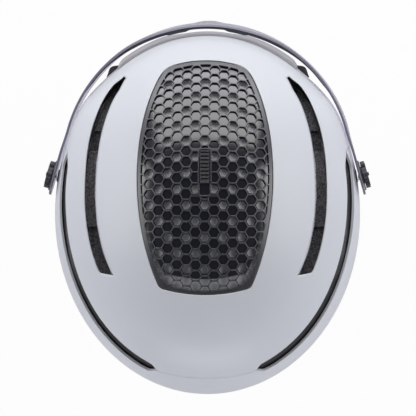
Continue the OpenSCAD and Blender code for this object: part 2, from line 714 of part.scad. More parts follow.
// Pads: crowned in the middle, thin at the edge, with sewn channels.
function pad_edge(t) = pow(max(0, sin(180 * t)), 0.4);
function channel(t, n) = 1 - 0.35 * exp(-pow(((t * n + 0.5) % 1 - 0.5) * 7, 2))
    * (t > 0.5 / n && t < 1 - 0.5 / n ? 1 : 0);
module skin_pad(az0, az1, e0, e1, off, n, rows, channels) {
    function u(az) = (az - az0) / (az1 - az0);
    color([0.16, 0.16, 0.18]) patch(steps(az0, az1, n), rows, function (az) e0, function (az) e1,
        function (az, s) off,
        function (az, s) off + 0.8 + (pad_t - 0.8) * pad_edge(u(az)) * pad_edge(s) * channel(u(az), channels));
}
module brow_pad() {
    e = [for (az = steps(52, 128, 20)) az];
    function u(az) = (az - 52) / 76;
    function at(az, s, in) = ring_pt(az, in) + [0, 0, mix(11, -11, s)];
    color([0.16, 0.16, 0.18]) grid_solid(
        [for (az = e) [for (j = [0:6]) at(az, j / 6, ring_t + 0.3)]],
        [for (az = e) [for (j = [0:6]) at(az, j / 6,
            ring_t + 1.1 + (pad_t - 0.8) * pad_edge(u(az)) * pad_edge(j / 6) * channel(u(az), 4))]]);
}
module crown_pad(side) {
    n = 14;
    m = 6;
    function at(i, j, d) = let (y = mix(-42, 62, i / n), x = mix(14, 34, j / m), t = wall_t + facet_gap + d)
        [side * x, y, skin_z(x, y, t)];
    function rise(i, j) = 0.8 + (pad_t - 0.8) * pad_edge(i / n) * pad_edge(j / m) * channel(i / n, 3);
    function order(i) = side > 0 ? i : n - i;
    color([0.16, 0.16, 0.18]) grid_solid(
        [for (i = [0:n]) [for (j = [0:m]) at(order(i), j, 0)]],
        [for (i = [0:n]) [for (j = [0:m]) at(order(i), j, rise(order(i), j))]]);
}
module side_pad(side) {
    if (side > 0) skin_pad(-24, 16, 40, 17, wall_t + facet_gap, 12, 6, 2);
    else skin_pad(164, 204, 40, 17, wall_t + facet_gap, 12, 6, 2);
}
module nape_pad() {
    azs = steps(270 - 26, 270 + 26, 14);
    r = rack_r - house_in - 0.3;
    function u(az) = (az - 244) / 52;
    function at(az, s, in) =
        [(r - in) * cos(az), rack_mid.y + (r - in) * sin(az), -dial_drop + mix(11, -11, s)];
    color([0.16, 0.16, 0.18]) grid_solid(
        [for (az = azs) [for (j = [0:6]) at(az, j / 6, 0)]],
        [for (az = azs) [for (j = [0:6]) at(az, j / 6,
            0.8 + (pad_t - 2) * pad_edge(u(az)) * pad_edge(j / 6) * channel(u(az), 3))]]);
}

// Straps: flat webbing along a few points, with a width direction at each point.
// The share level turns the first end's cut from square to level, to lie under an anchor.
module webbing(pts, dirs, level) {
    n = len(pts);
    function along(i) = let (d = pts[min(n - 1, i + 1)] - pts[max(0, i - 1)]) d / norm(d);
    function across(i) = let (d = dirs[i] - along(i) * (dirs[i] * along(i))) d / norm(d);
    function up(i) = cross(along(i), across(i));
    function corner(i, a, b) = pts[i] + across(i) * (a * strap_w / 2) + up(i) * (b * strap_t / 2);
    function edge(i, a, b) = let (c = corner(i, a, b))
        i == 0 ? c + along(0) * (level * (pts[0].z - c.z) / along(0).z) : c;
    grid_solid([for (i = [n - 1:-1:0]) [edge(i, -1, 1), edge(i, 1, 1)]],
        [for (i = [n - 1:-1:0]) [edge(i, -1, -1), edge(i, 1, -1)]]);
}
anchor_off = wall_t / 2;
anchor_r = 8.5;
anchor_t = 3.4;
function anchor_at(az) = skin(az, rim_e(az), anchor_off) - [0, 0, anchor_t / 2];
front_anchor = anchor_at(14);
rear_anchor = anchor_at(-38);
divider_at = [73, -8, -divider_drop];
fork = [0, 7.2, 8];
module strap_run(pts, dirs, side, level) {
    color([0.09, 0.09, 0.1]) mirror([side < 0 ? 1 : 0, 0, 0]) webbing(pts, dirs, level);
}
anchor_gap = 0.3;
front_level = 1;
rear_level = 0.6;
function run_at(a, b, bow, n, level) = let (d = (b - a) / norm(b - a),
    rise = strap_w / 2 * abs(d.y * d.z) / sqrt(1 - d.y * d.y) + strap_t / 2 * abs(d.x),
    start = a - d * ((rise * (1 - level) + anchor_gap) / d.z))
    [for (i = [0:n]) mix(start, b, i / n) - [bow * sin(180 * i / n), 0, 0]];
front_run = run_at(front_anchor, divider_at + fork, 3, 4, front_level);
rear_run = run_at(rear_anchor, divider_at + [fork.x, -fork.y, fork.z], -2, 4, rear_level);
module front_strap(side) strap_run(front_run, [for (p = front_run) [0, 1, 0]], side, front_level);
module rear_strap(side) strap_run(rear_run, [for (p = rear_run) [0, 1, 0]], side, rear_level);
chin_y = 14;
chin_start = divider_at - [0.5, 0, 10.2];
ladder_z = buckle_h / 4 + slide_gap + strap_t / 2;
function left_chin(t) = bezier([chin_start, [72, divider_at.y, -divider_drop - 44],
    [56, chin_y, -chin_drop], [loop_l - socket_x + 0.9, chin_y, -chin_drop]], t);
function right_chin(t) = t > 0.9
    ? [tongue_x + 5.5, chin_y, ladder_z - chin_drop]
    : bezier([chin_start, [72, divider_at.y, -divider_drop - 44], [73, chin_y, ladder_z - chin_drop],
        [tongue_x + tongue_l + slide_out, chin_y, ladder_z - chin_drop]], t / 0.875);
function chin_curve(t, side) = side < 0 ? left_chin(t) : right_chin(t);
module chin_strap(side) {
    strap_run([for (i = [0:8]) chin_curve(i / 8, side)], [for (i = [0:8]) [0, 1, 0]], side, 0);
}
// The divider's upper edges lie square to the two straps that meet in it.
function strap_edge(run, u) = let (n = len(run), d = run[n - 2] - run[n - 1],
    flat_d = [d.y, d.z] / norm([d.y, d.z]), c = [run[n - 1].y, run[n - 1].z] - flat_d * 0.7)
    c + [flat_d.y, -flat_d.x] * u - [divider_at.y, divider_at.z];
module divider(side) {
    w = strap_w / 2 + 1.5;
    color([0.12, 0.12, 0.13]) mirror([side < 0 ? 1 : 0, 0, 0]) translate(divider_at)
        rotate([90, 0, 90]) difference() {
            translate([0, 0, -2.2]) linear_extrude(4.4) polygon([
                strap_edge(front_run, w), strap_edge(front_run, 2 - w), strap_edge(rear_run, w - 2),
                strap_edge(rear_run, -w), [-w - 1, -9], [w + 1, -9]]);
            translate([-strap_w / 2, -6.5, 1]) cube([strap_w, 2.5, 3]);
        }
}
module strap_anchors() {
    color([0.14, 0.14, 0.15]) for (side = [-1, 1], p = [front_anchor, rear_anchor])
        translate([side * p.x, p.y, p.z]) cylinder(h = anchor_t, r = anchor_r);
}

// Buckle: a tongue with two squeeze latches slides out of the socket to the right.
socket_x = -buckle_l / 2;
loop_l = 7;
tongue_l = 14;
slide_out = 26;
wall = 1.8;
module buckle_frame() translate([0, chin_y, -chin_drop]) children();
module buckle_socket() {
    color([0.11, 0.11, 0.12]) buckle_frame() difference() {
        union() {
            translate([socket_x, -buckle_w / 2, -buckle_h / 2]) cube([buckle_l, buckle_w, buckle_h]);
            translate([socket_x - loop_l, -buckle_w / 2, -buckle_h / 4])
                cube([loop_l + 1, buckle_w, buckle_h / 2]);
        }
        translate([socket_x + 8, -buckle_w / 2 + wall, -buckle_h / 2 + wall])
            cube([buckle_l, buckle_w - 2 * wall, buckle_h - 2 * wall]);
        translate([socket_x + 10, -buckle_w, -buckle_h / 2 + wall])
            cube([12, 2 * buckle_w, buckle_h - 2 * wall]);
        translate([socket_x - loop_l + 2, -strap_w / 2 - 0.6, -buckle_h])
            cube([3, strap_w + 1.2, 2 * buckle_h]);
    }
}
tongue_x = buckle_l / 2 + slide_gap;
latch_w = 4;
latch_l = 22;
pin_x = tongue_x + 2.4;
pin_r = 1.6;
bridge_t = 1.6;
module buckle_tongue() {
    h = buckle_h - 2 * wall - 2 * slide_gap;
    bridge_z = ladder_z + strap_t / 2 + slide_gap;
    color([0.13, 0.13, 0.14]) buckle_frame() difference() {
        union() {
            translate([tongue_x, -buckle_w / 2, -buckle_h / 2]) cube([5, buckle_w, buckle_h * 0.75]);
            for (y = [-1, 1]) translate([tongue_x, y * latch_y - latch_w, -buckle_h / 2])
                cube([5, 2 * latch_w, buckle_h]);
            translate([tongue_x - 24, -3, -h / 2]) cube([26, 6, h]);
            translate([tongue_x + 4, -buckle_w / 2, -buckle_h / 4])
                cube([tongue_l - 4, buckle_w, buckle_h / 4 + bridge_z + bridge_t]);
        }
        translate([tongue_x + 5, -strap_w / 2 - 0.6, buckle_h / 4])
            cube([tongue_l, strap_w + 1.2, bridge_z - buckle_h / 4]);
        translate([tongue_x - 1, -strap_w / 2 - 0.6, buckle_h / 4]) cube([7, strap_w + 1.2, buckle_h]);
        translate([tongue_x + 7, -strap_w / 2 - 0.6, -buckle_h]) cube([3, strap_w + 1.2, buckle_h + 3]);
        for (side = [-1, 1]) {
            translate([pin_x, side * latch_y, -buckle_h]) cylinder(h = 2 * buckle_h, r = pin_r + run_gap);
            translate([tongue_x - 1, side * latch_y - latch_w / 2 - 1, -h / 2 - slide_gap])
                cube([5.2, latch_w + 2, h + 2 * slide_gap]);
        }
    }
}
latch_y = buckle_w / 2 - wall - slide_gap - latch_w / 2;
module buckle_latch(side) {
    h = buckle_h - 2 * wall - 2 * slide_gap;
    color([0.16, 0.16, 0.17]) buckle_frame() {
        translate([tongue_x - latch_l, side * latch_y - latch_w / 2, -h / 2])
            cube([latch_l + pin_x - tongue_x + 0.8, latch_w, h]);
        translate([pin_x, side * latch_y, -buckle_h / 2]) cylinder(h = buckle_h / 2 + h / 2, r = pin_r);
    }
}
module chin_pad() {
    n = 10;
    function p(t) = let (c = left_chin(t)) [-c.x, c.y, c.z];
    function at(i, j, d) = let (t = mix(0.3, 0.86, i / n), c = p(t), q = p(t + 0.02) - p(t - 0.02),
        up = cross([0, 1, 0], q) / norm(q), a = mix(-12, 12, j / 6)) c + [0, a, 0] + up * d;
    function rise(i, j) = 0.8 + 4 * pad_edge(i / n) * pad_edge(j / 6) * channel(i / n, 3);
    gap = strap_t / 2 + 1.1;
    color([0.14, 0.14, 0.15]) grid_solid(
        [for (i = [0:n]) [for (j = [0:6]) at(i, j, -gap)]],
        [for (i = [0:n]) [for (j = [0:6]) at(i, j, -gap - rise(i, j))]]);
}
keeper_t = 0.12;
module strap_keeper() {
    c = left_chin(keeper_t);
    d = left_chin(keeper_t + 0.01) - left_chin(keeper_t - 0.01);
    color([0.12, 0.12, 0.13]) mirror([1, 0, 0]) translate(c) rotate([0, atan2(d.x, d.z), 0]) difference() {
        cube([strap_t + 5, strap_w + 5, 7], center = true);
        cube([strap_t + 1.4, strap_w + 1.8, 12], center = true);
    }
}

crown_shell();
lower_shell();
eps_liner();
brow_trim();
brow_seal();
rim_trim();
vent_grille();
vent_base();
vent_net();
shutter_plate();
shutter_slider();
visor_lens();
visor_gasket();
visor_hub(-1);  // visor_hub_left
visor_hub(1);  // visor_hub_right
pivot_base(-1);  // pivot_base_left
pivot_base(1);  // pivot_base_right
pivot_screw(-1);  // pivot_screw_left
pivot_screw(1);  // pivot_screw_right
side_knob(-1);  // knob_left
side_knob(1);  // knob_right
head_ring();
ring_clips();
rear_hanger();
dial_housing();
rack(-1);  // rack_left
rack(1);  // rack_right
adjust_dial();
dial_pinion();
brow_pad();
crown_pad(-1);  // crown_pad_left
crown_pad(1);  // crown_pad_right
side_pad(-1);  // side_pad_left
side_pad(1);  // side_pad_right
nape_pad();
strap_anchors();
front_strap(-1);  // front_strap_left
front_strap(1);  // front_strap_right
rear_strap(-1);  // rear_strap_left
rear_strap(1);  // rear_strap_right
divider(-1);  // divider_left
divider(1);  // divider_right
chin_strap(-1);  // chin_strap_left
chin_strap(1);  // chin_strap_right
buckle_socket();
buckle_tongue();
buckle_latch(1);  // buckle_latch_front
buckle_latch(-1);  // buckle_latch_rear
chin_pad();
strap_keeper();
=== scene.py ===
"""Looks of the city bicycle helmet: shells, honeycomb vent, visor, liner, straps and light."""
import math

import bpy
import numpy as np
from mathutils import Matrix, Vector
from mathutils.geometry import delaunay_2d_cdt
from mathutils.kdtree import KDTree


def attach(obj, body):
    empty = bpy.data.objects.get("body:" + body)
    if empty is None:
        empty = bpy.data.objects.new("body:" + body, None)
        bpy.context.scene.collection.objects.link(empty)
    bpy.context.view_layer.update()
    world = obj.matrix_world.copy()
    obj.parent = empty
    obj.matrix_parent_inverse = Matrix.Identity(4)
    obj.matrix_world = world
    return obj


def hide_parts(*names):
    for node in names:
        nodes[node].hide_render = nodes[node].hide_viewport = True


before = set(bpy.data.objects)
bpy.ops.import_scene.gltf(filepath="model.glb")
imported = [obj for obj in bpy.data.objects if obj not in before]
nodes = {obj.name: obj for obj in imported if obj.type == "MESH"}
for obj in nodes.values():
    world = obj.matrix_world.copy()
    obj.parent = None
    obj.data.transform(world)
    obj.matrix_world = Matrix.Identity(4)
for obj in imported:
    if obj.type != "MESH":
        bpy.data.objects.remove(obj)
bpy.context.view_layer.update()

# Sizes are in millimetres and angles in degrees; those of the object are the CAD source's.
# The shell, the clearances, and the spacing of the points on the shell's face.
HALF_W, HALF_L, CROWN_H, SKIRT_R = 122.0, 144.0, 105.0, 150.0
SHELL_T, WALL_T = 2.2, 36.0
FACET_GAP, SEAT_GAP, SLIDE_GAP, SHELL_GAP = 0.8, 0.15, 0.4, 2.6

# The rim's depth, its arch over the ears, and the height of its edge strip.
RIM_FRONT, RIM_REAR, RIM_EASE = 6.0, 50.0, 0.9
EAR_ARCH, EAR_AZ, EAR_SPREAD, EDGE_H = 7.0, -8.0, 20.0, 2.6

# The slit between the shells: its place as a share of the outline, its ends and their runs.
SLIT_W, SLIT_SHARE, SLIT_SHARE_REAR, SLIT_TIP, SLIT_END = 5.2, 0.926, 0.906, 0.972, 112.0
SLIT_STRAIGHT, REAR_JOIN, SEAM_SHARE = 50.0, 28.0, 0.0005
SLIT_TAIL, SLIT_NOSE_RUN, SLIT_TAIL_RUN, DROP_RUN = 20.0, 7.0, 4.0, 2.4

# The fuller front quarters: height, turn off the front, spread, and the elevations of the fade.
FULL_UP, FULL_TURN, FULL_SPREAD, FULL_TOP, FULL_FADE = 2.9, 55, 12, 48, 36

# Edge rounding of the shells at the seam, along the slit on either side, at the front, round
# the vents and the panel; the turns from the rear where it changes, and over how much.
ROUND_SEAM, ROUND_CROWN, ROUND_LOW, ROUND_FRONT = 0.3, 1.7, 0.8, 0.35
ROUND_VENT, ROUND_PANEL, SEAM_FROM, NOSE_FROM, ROUND_RUN = 2.1, 1.0, 16, 88, 14

# The side vents: middle line, half width and its growth, the bow at the front, and the corners
# of the slanted rear end as (side, wider, further).
VENT_LINE = [(64.5, 108.5), (99.0, 66), (98.5, -11.5), (79, -48)]
VENT_HALF, VENT_START, VENT_GROWTH, VENT_BOW, VENT_CLEAR = 4.35, 0.64, 0.9, 0.9, 0.8
VENT_END = ((1, -0.4, -3.7), (-1, 0.3, 2.8))

# The crown panel in plan and its honeycomb, wrapped over the crown.
PANEL_FRONT, PANEL_REAR, PANEL_HALF, PANEL_CORNER, PANEL_TAIL = 121.6, 63.7, 53.6, 32.4, 36.0
END_RISE, PANEL_RIM, GRILLE_T = 5.3, 3.0, 1.3
ROW_PITCH, ROW_START, COL_PITCH, CELL_WALL = 8.7, 7.2, 7.3, 1.1
CELL_ROUND, CELL_LEAST = 0.9, 3.0
CROSS_R, WRAP_DROP = 135.7, 73.2
WRAP_R = CROWN_H + WRAP_DROP
CELL_R = (ROW_PITCH - CELL_WALL) / math.sqrt(3)
COLUMNS = int((PANEL_HALF - PANEL_RIM) / COL_PITCH + 0.5)
HEXAGON = np.array([(math.cos(t), math.sin(t)) for t in np.radians(range(0, 360, 60))])

# The shutter, its slider and the slot for it, and the air holes.
SHUTTER_INSET, SHUTTER_T, AIR_HOLE_D, HOLE_ROUND, HOLE_EDGE = 2.8, 1.2, 7.0, 0.6, 1.5
SLIDER_L, SLIDER_W, SLIDER_ROW, SLOT_RIM, SLOT_GAP, SLOT_ROUND = 27.0, 7.3, 3.5, 1.2, 0.5, 1.2
SLIDER_UP, SLIDER_RIBS, RIB_UP, SLIDER_ROUND, SLIDER_END = 0.54, 9, 0.95, 0.45, 0.965
SLIDER_MID = SLIDER_ROW * ROW_PITCH + ROW_START

# The visor: plan arc, height, nose arch, arms and ears, and how the film leans out.
VISOR_R, VISOR_Y, VISOR_T, VISOR_TOP, VISOR_LOW = 117.6, 36.8, 2.0, 18.0, 75.0
NOSE_R, PIVOT_Y, PIVOT_Z, EAR_X, EAR_R, ARM_AZ = 27.0, 30.4, 6.0, 121.946, 15.5, 16.0
FILM_BULGE, FILM_LEAN, FILM_LEAN_SIDE, LEAN_FROM, LEAN_RUN = 0.5, 3.4, 1.5, 12, 25
NOSE_FLARE, FLARE_HALF, FLARE_RUN, FILM_ROUND = 1.3, 9.0, 40, 0.85

# The gasket bead: thickness, height, reach, its shares of the thickness and where they change.
GASKET_T, GASKET_H, GASKET_REACH = 2.0, 6.5, 100.0
GASKET_NOTCH, GASKET_BESIDE, GASKET_WIDE, GASKET_END = 0.95, 1.5, 1.12, 0.3
BESIDE_FROM, BESIDE_RUN, WIDE_FROM, WIDE_RUN, END_FROM, END_RUN = 14, 5, 32, 3, 56, 34

# The brow strip, its seal and the rim strip, with the turns that they reach on either side.
BROW_TOP, BROW_LIP, BROW_SIDE, BROW_HALF, SEAL_HALF = 16.5, 2.6, 4.5, 36.0, 41.0
LIP_FROM, LIP_RUN, BROW_TAPER, BROW_SINK, BROW_SKIN = 8, 9, 3, 0.8, 0.42
SEAL_OUT, SEAL_KNOB, SEAL_KNOB_IN, SEAL_KNOB_HALF, SEAL_TALL = 0.9, 4.2, 3.2, 2.4, 1.38
RIM_SEAT, RIM_HALF = 0.12, 138.0

# The head ring, dial and racks, where they carry pads, and the straps.
RING_W, RING_L, RING_LEVEL, RING_T, DIAL_DROP = 81.5, 103.5, 7.0, 1.5, 62.0
RACK_R, RACK_Y, HOUSE_IN = 66.0, -34.4, 3.4
PAD_T, PAD_LEAST, PAD_SEAT, SEAM_DEPTH = 7.0, 0.8, 0.3, 0.42
STRAP_W, STRAP_T = 15.0, 1.8
FRONT_ANCHOR, REAR_ANCHOR = (100.057, 30.224, -18.8375), (79.16, -74.93, -35.87)
DIVIDER, FORK = (73.0, -8.0, -96.0), 7.2
CHIN_Y, CHIN_DROP = 14.0, 168.0
FLOOR_Z = -172.5

# The stage, in metres: camera, sky brightness by the height looked at, and the soft boxes as
# name, azimuth, elevation, width, height and watts.
CAMERA_TILT, CAMERA_DISTANCE, VIEW_WIDTH = 1.26, 6.0, 0.3328
AIM = Vector((0.0004, 0.0048, 0.0))
SKY_LEVELS = ((0.0, 1.05), (0.22, 0.95), (0.45, 0.21), (0.75, 0.09), (1.0, 0.05))
SKY_TINT = (0.93, 0.945, 1.085)
LIGHT_DISTANCE = 3.0
SOFT_BOXES = (("front_box", 90, 29.5, 3.8, 2.35, 54), ("right_box", 5, 35, 2.2, 1.7, 23),
              ("left_box", 175, 32, 2.2, 1.7, 22), ("rear_box", 270, 2, 2.6, 0.6, 16))

MM = 0.001
ROOT = "helmet"


# Forms of the shell
def blend(t):
    t = np.clip(t, 0.0, 1.0)
    return t * t * (3 - 2 * t)


def mix(a, b, t):
    return a + (b - a) * t


def sind(a):
    return np.sin(np.radians(a))


def cosd(a):
    return np.cos(np.radians(a))


def from_rear(az):
    """Degrees round the shell from the middle of the rear, 0 to 180 on either side."""
    d = np.abs(np.mod(az, 360.0) - 270.0)
    return np.where(d > 180, 360 - d, d)


def front_bulge(az, e):
    """The front quarters stand a little fuller than the oval."""
    turn = np.abs((np.asarray(az) + 90.0) % 360.0 - 180.0)
    fade = blend((FULL_TOP - np.asarray(e)) / FULL_FADE)
    return FULL_UP * np.exp(-((turn - FULL_TURN) / FULL_SPREAD) ** 2) * fade


def skin(az, e, off=0.0):
    """Points at azimuth az and elevation e on the shell's outside, or off millimetres inside it."""
    off = off - front_bulge(az, e)
    x, y = (HALF_W - off) * cosd(e) * cosd(az), (HALF_L - off) * cosd(e) * sind(az)
    return np.stack([x, y, np.where(e >= 0, CROWN_H - off, SKIRT_R - off) * sind(e)], -1)


def rim_depth(az):
    """How far the rim lies under the widest level."""
    w = from_rear(az)
    arch = EAR_ARCH * np.exp(-((w - 90 - EAR_AZ) / EAR_SPREAD) ** 2)
    return mix(RIM_REAR, RIM_FRONT, blend(w / 180) ** RIM_EASE) - arch


def rim_e(az):
    return -np.degrees(np.arcsin(rim_depth(az) / SKIRT_R))


def slit_e(az, side):
    """Elevation of the slit's upper (-1) or lower (1) edge."""
    w = from_rear(az)
    tip = np.maximum(0, (w - SLIT_END + SLIT_STRAIGHT) / SLIT_STRAIGHT)
    mid = np.where(w < REAR_JOIN, mix(SLIT_SHARE_REAR, SLIT_SHARE, blend(w / REAR_JOIN)),
                   SLIT_SHARE + (SLIT_TIP - SLIT_SHARE) * tip ** 2)
    ends = blend((SLIT_END - w) / SLIT_NOSE_RUN), blend((w - SLIT_TAIL) / SLIT_TAIL_RUN)
    half = SEAM_SHARE + SLIT_W / (2 * HALF_W) * ends[0] * ends[1]
    return np.degrees(np.arccos(np.minimum(1.0, mid + side * half)))


def bezier(p, t):
    p = [np.array(q, float) for q in p]
    t = np.asarray(t, float)[:, None]
    u = 1 - t
    return u ** 3 * p[0] + 3 * t * u ** 2 * p[1] + 3 * t * t * u * p[2] + t ** 3 * p[3]


def catmull(points, per_span):
    """A smooth line through the points, with per_span steps between each two."""
    p = np.array([points[0], *points, points[-1]], float)
    out = []
    for i in range(1, len(p) - 2):
        for t in np.arange(per_span) / per_span:
            out.append(0.5 * (2 * p[i] + (p[i + 1] - p[i - 1]) * t
                              + (2 * p[i - 1] - 5 * p[i] + 4 * p[i + 1] - p[i + 2]) * t * t
                              + (3 * p[i] - p[i - 1] - 3 * p[i + 1] + p[i + 2]) * t ** 3))
    return np.array(out + [p[-2]])


# The shell's flat map: the crown is its middle, and elevation falls with radius.
def to_map(az, e):
    rho = (90.0 - e) / 90.0
    return np.stack([rho * cosd(az), rho * sind(az)], -1)


def map_az_e(uv):
    u, v = uv.T
    return np.degrees(np.arctan2(v, u)), 90.0 - 90.0 * np.hypot(u, v)


def plan_to_map(xy):
    """The shell's map coordinates of points seen from straight above."""
    x, y = (xy / [HALF_W, HALF_L]).T
    lift = np.sqrt(np.maximum(0, 1 - x * x - y * y))
    return to_map(np.degrees(np.arctan2(y, x)), np.degrees(np.arcsin(lift)))


# Mesh tools
def resample(loop, surface, gap):
    """The closed loop again, with points an even distance apart on the surface."""
    pts = surface(loop)
    seg = np.linalg.norm(np.roll(pts, -1, 0) - pts, axis=1)
    run = np.concatenate([[0], np.cumsum(seg)])
    n = max(8, int(round(run[-1] / gap)))
    closed = np.vstack([loop, loop[:1]])
    at = np.arange(n) * run[-1] / n
    return np.stack([np.interp(at, run, line) for line in closed.T], -1)


def flat(xy):
    """The plan itself as a surface, for even spacing in plan."""
    return np.column_stack([xy, np.zeros(len(xy))])


def unit(v):
    return v / np.maximum(np.linalg.norm(v, axis=-1, keepdims=True), 1e-12)


def soften(loop, times):
    for _ in range(times):
        loop = 0.25 * np.roll(loop, 1, 0) + 0.5 * loop + 0.25 * np.roll(loop, -1, 0)
    return loop


def area_of(loop):
    x, y = loop.T
    return 0.5 * float(np.sum(x * np.roll(y, -1) - np.roll(x, -1) * y))


def turned(loop, ccw):
    return loop if (area_of(loop) > 0) == ccw else loop[::-1]


def inside(points, loop):
    """Which points lie inside the closed loop."""
    lo, hi = loop.min(0), loop.max(0)
    near = np.all((points >= lo) & (points <= hi), axis=1)
    result = np.zeros(len(points), bool)
    p = points[near]
    if not len(p):
        return result
    hit = np.zeros(len(p), bool)
    for a, b in zip(loop, np.roll(loop, -1, 0)):
        crosses = (a[1] > p[:, 1]) != (b[1] > p[:, 1])
        if crosses.any():
            x = a[0] + (p[:, 1] - a[1]) * (b[0] - a[0]) / (b[1] - a[1] if b[1] != a[1] else 1e-12)
            hit ^= crosses & (p[:, 0] < x)
    result[near] = hit
    return result


def new_object(name, data):
    obj = bpy.data.objects.new(name, data)
    bpy.context.scene.collection.objects.link(obj)
    return obj


def make(name, node, material, body, verts, faces, normals=None):
    """One finished piece from points in millimetres, in place of a CAD node."""
    mesh = bpy.data.meshes.new(name)
    mesh.from_pydata([tuple(v) for v in np.asarray(verts) * MM], [], [tuple(f) for f in faces])
    mesh.shade_smooth()
    if normals is not None:
        mesh.normals_split_custom_set_from_vertices([tuple(n) for n in normals])
    mesh.materials.append(material)
    obj = new_object(name, mesh)
    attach(obj, body)
    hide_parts(node)
    return obj


def carve(surface, loops, fill, gap, thick, radius, flip=False, down=None, upright=(), arc=5):
    """A closed sheet on surface(uv): loops[0] is its outline and the rest are holes.

    Its outer edges are rounded in arc steps to the radius, one for all loops or a list. Its back
    lies `thick` below its face, along down(points, normals) or else the normals. The walls of the
    loops in upright run straight down. Fill points clear of the edges fill the face, and flip
    turns it over."""
    step = 1e-3 * max(1.0, np.abs(loops[0]).max())

    def tangents(uv):
        du, dv = np.array([step, 0]), np.array([0, step])
        pu, pv = surface(uv + du) - surface(uv - du), surface(uv + dv) - surface(uv - dv)
        return pu / (2 * step), pv / (2 * step)

    def rounding(k, m):
        return np.broadcast_to(radius[k] if isinstance(radius, list) else radius, (m,))

    def on_face(points):
        keep = inside(points, rings[0])
        for ring in rings[1:]:
            keep &= ~inside(points, ring)
        return keep

    def belt(last, now):
        for quad in zip(last, now, np.roll(now, -1), np.roll(last, -1)):
            faces.append(quad[::-1] if flip else quad)

    rings, edges = [], []
    for i, loop in enumerate(loops):
        loop = turned(loop, i == 0)
        p = surface(loop)
        pu, pv = tangents(loop)
        w = unit(np.cross(pu, pv))
        side = unit(np.cross(w, unit(np.roll(p, -1, 0) - np.roll(p, 1, 0))))
        r = rounding(i, len(loop))
        a, b, c = (pu * pu).sum(1), (pu * pv).sum(1), (pv * pv).sum(1)
        x, y = (pu * side).sum(1) * r, (pv * side).sum(1) * r
        det = a * c - b * b
        rings.append(loop + np.stack([(c * x - b * y) / det, (a * y - b * x) / det], -1))
        edges.append((p, side, -w if flip else w))
    ring_uv = np.vstack(rings)
    tree = KDTree(len(ring_uv))
    for i, p in enumerate(surface(ring_uv)):
        tree.insert(p, i)
    tree.balance()
    fill = fill[on_face(fill)]
    if len(fill):
        fill = fill[np.array([tree.find(p)[2] > gap * 0.55 for p in surface(fill)], bool)]
    uv = np.vstack([ring_uv, fill])
    ends = np.cumsum([0] + [len(r) for r in rings])
    limits = [(ends[k] + i, ends[k] + (i + 1) % len(r))
              for k, r in enumerate(rings) for i in range(len(r))]
    out = delaunay_2d_cdt([Vector(p) for p in uv], limits, [], 0, 1e-9)
    source = [o[0] if o else -1 for o in out[3]]
    tris = np.array([[source[i] for i in f] for f in out[2]])
    tris = tris[(tris >= 0).all(1)]
    tris = tris[on_face(uv[tris].mean(1))]
    ca, cb = uv[tris[:, 1]] - uv[tris[:, 0]], uv[tris[:, 2]] - uv[tris[:, 0]]
    wrong = (ca[:, 0] * cb[:, 1] - ca[:, 1] * cb[:, 0] < 0) != flip
    tris[wrong] = tris[wrong][:, ::-1]
    face = surface(uv)
    pu, pv = tangents(uv)
    up = unit(np.cross(pu, pv)) * (-1 if flip else 1)
    deep = down or (lambda p, n: -n)
    verts, norms, faces = [face], [up], [tuple(int(v) for v in t) for t in tris]
    count = len(face)
    back_ring = []
    for k, (p, side, n) in enumerate(edges):
        m = len(p)
        r = rounding(k, m)[:, None]
        d = np.broadcast_to([0.0, 0.0, -1.0], n.shape) if k in upright else deep(p, n)
        last = np.arange(m) + ends[k]
        turns = [math.pi / 2 * (j + 1) / arc for j in range(arc)]
        rows = [(p + side * r * (1 - math.sin(t)) + d * r * (1 - math.cos(t)),
                 n * math.cos(t) - side * math.sin(t)) for t in turns]
        rows += [(p + d * thick, -side), (p + d * thick, d)]
        for q, m_n in rows:
            verts.append(q)
            norms.append(unit(m_n))
            now = np.arange(m) + count
            count += m
            belt(last, now)
            last = now
        back_ring.append(last)
    edge_faces = range(len(tris), len(faces))
    verts.append(face + deep(face, up) * thick)
    norms.append(-up)
    faces += [tuple(int(v) + count for v in t[::-1]) for t in tris]
    for k, last in enumerate(back_ring):
        belt(last, np.arange(len(last)) + ends[k] + count)
    return np.vstack(verts), faces, np.vstack(norms), edge_faces


def loft(rows):
    """A capped skin through rows of points; each row is a closed profile."""
    n, m = len(rows), len(rows[0])
    verts = np.vstack(rows)
    faces = [(i * m + j, (i + 1) * m + j, (i + 1) * m + (j + 1) % m, i * m + (j + 1) % m)
             for i in range(n - 1) for j in range(m)]
    return verts, faces + [tuple(range(m)), tuple(range((n - 1) * m, n * m))[::-1]]


def make_sheet(name, node, slot, material, body, *sheet, **shape):
    """A piece carved from a surface, with the faces of its edges."""
    verts, faces, norms, edge_faces = carve(*sheet, **shape)
    return make(name, node, material, body, verts, faces, norms), edge_faces


def make_loft(name, node, material, body, rows):
    verts, faces = loft(rows)
    make(name, node, material, body, verts, outward(verts, faces))


def round_box(a0, a1, b0, b1, r, n=4):
    """The corners of a rounded rectangle as (a, b) pairs."""
    r_a, r_b = min(r, (a1 - a0) / 2), min(r, (b1 - b0) / 2)
    pts = []
    for ca, cb, start in ((a1, b1, 0), (a0, b1, 90), (a0, b0, 180), (a1, b0, 270)):
        for k in range(n + 1):
            t = math.radians(start + 90 * k / n)
            pts.append((ca - math.copysign(r_a, ca - (a0 + a1) / 2) + r_a * math.cos(t),
                        cb - math.copysign(r_b, cb - (b0 + b1) / 2) + r_b * math.sin(t)))
    return np.array(pts)


def outward(verts, faces):
    """Turns the faces over where the closed skin looks inward."""
    v = np.asarray(verts)
    centre = v.mean(0)
    total = 0.0
    for f in faces:
        p = v[list(f)] - centre
        total += np.dot(p[0], np.cross(p[1:-1], p[2:]).sum(0))
    return faces if total > 0 else [tuple(reversed(f)) for f in faces]


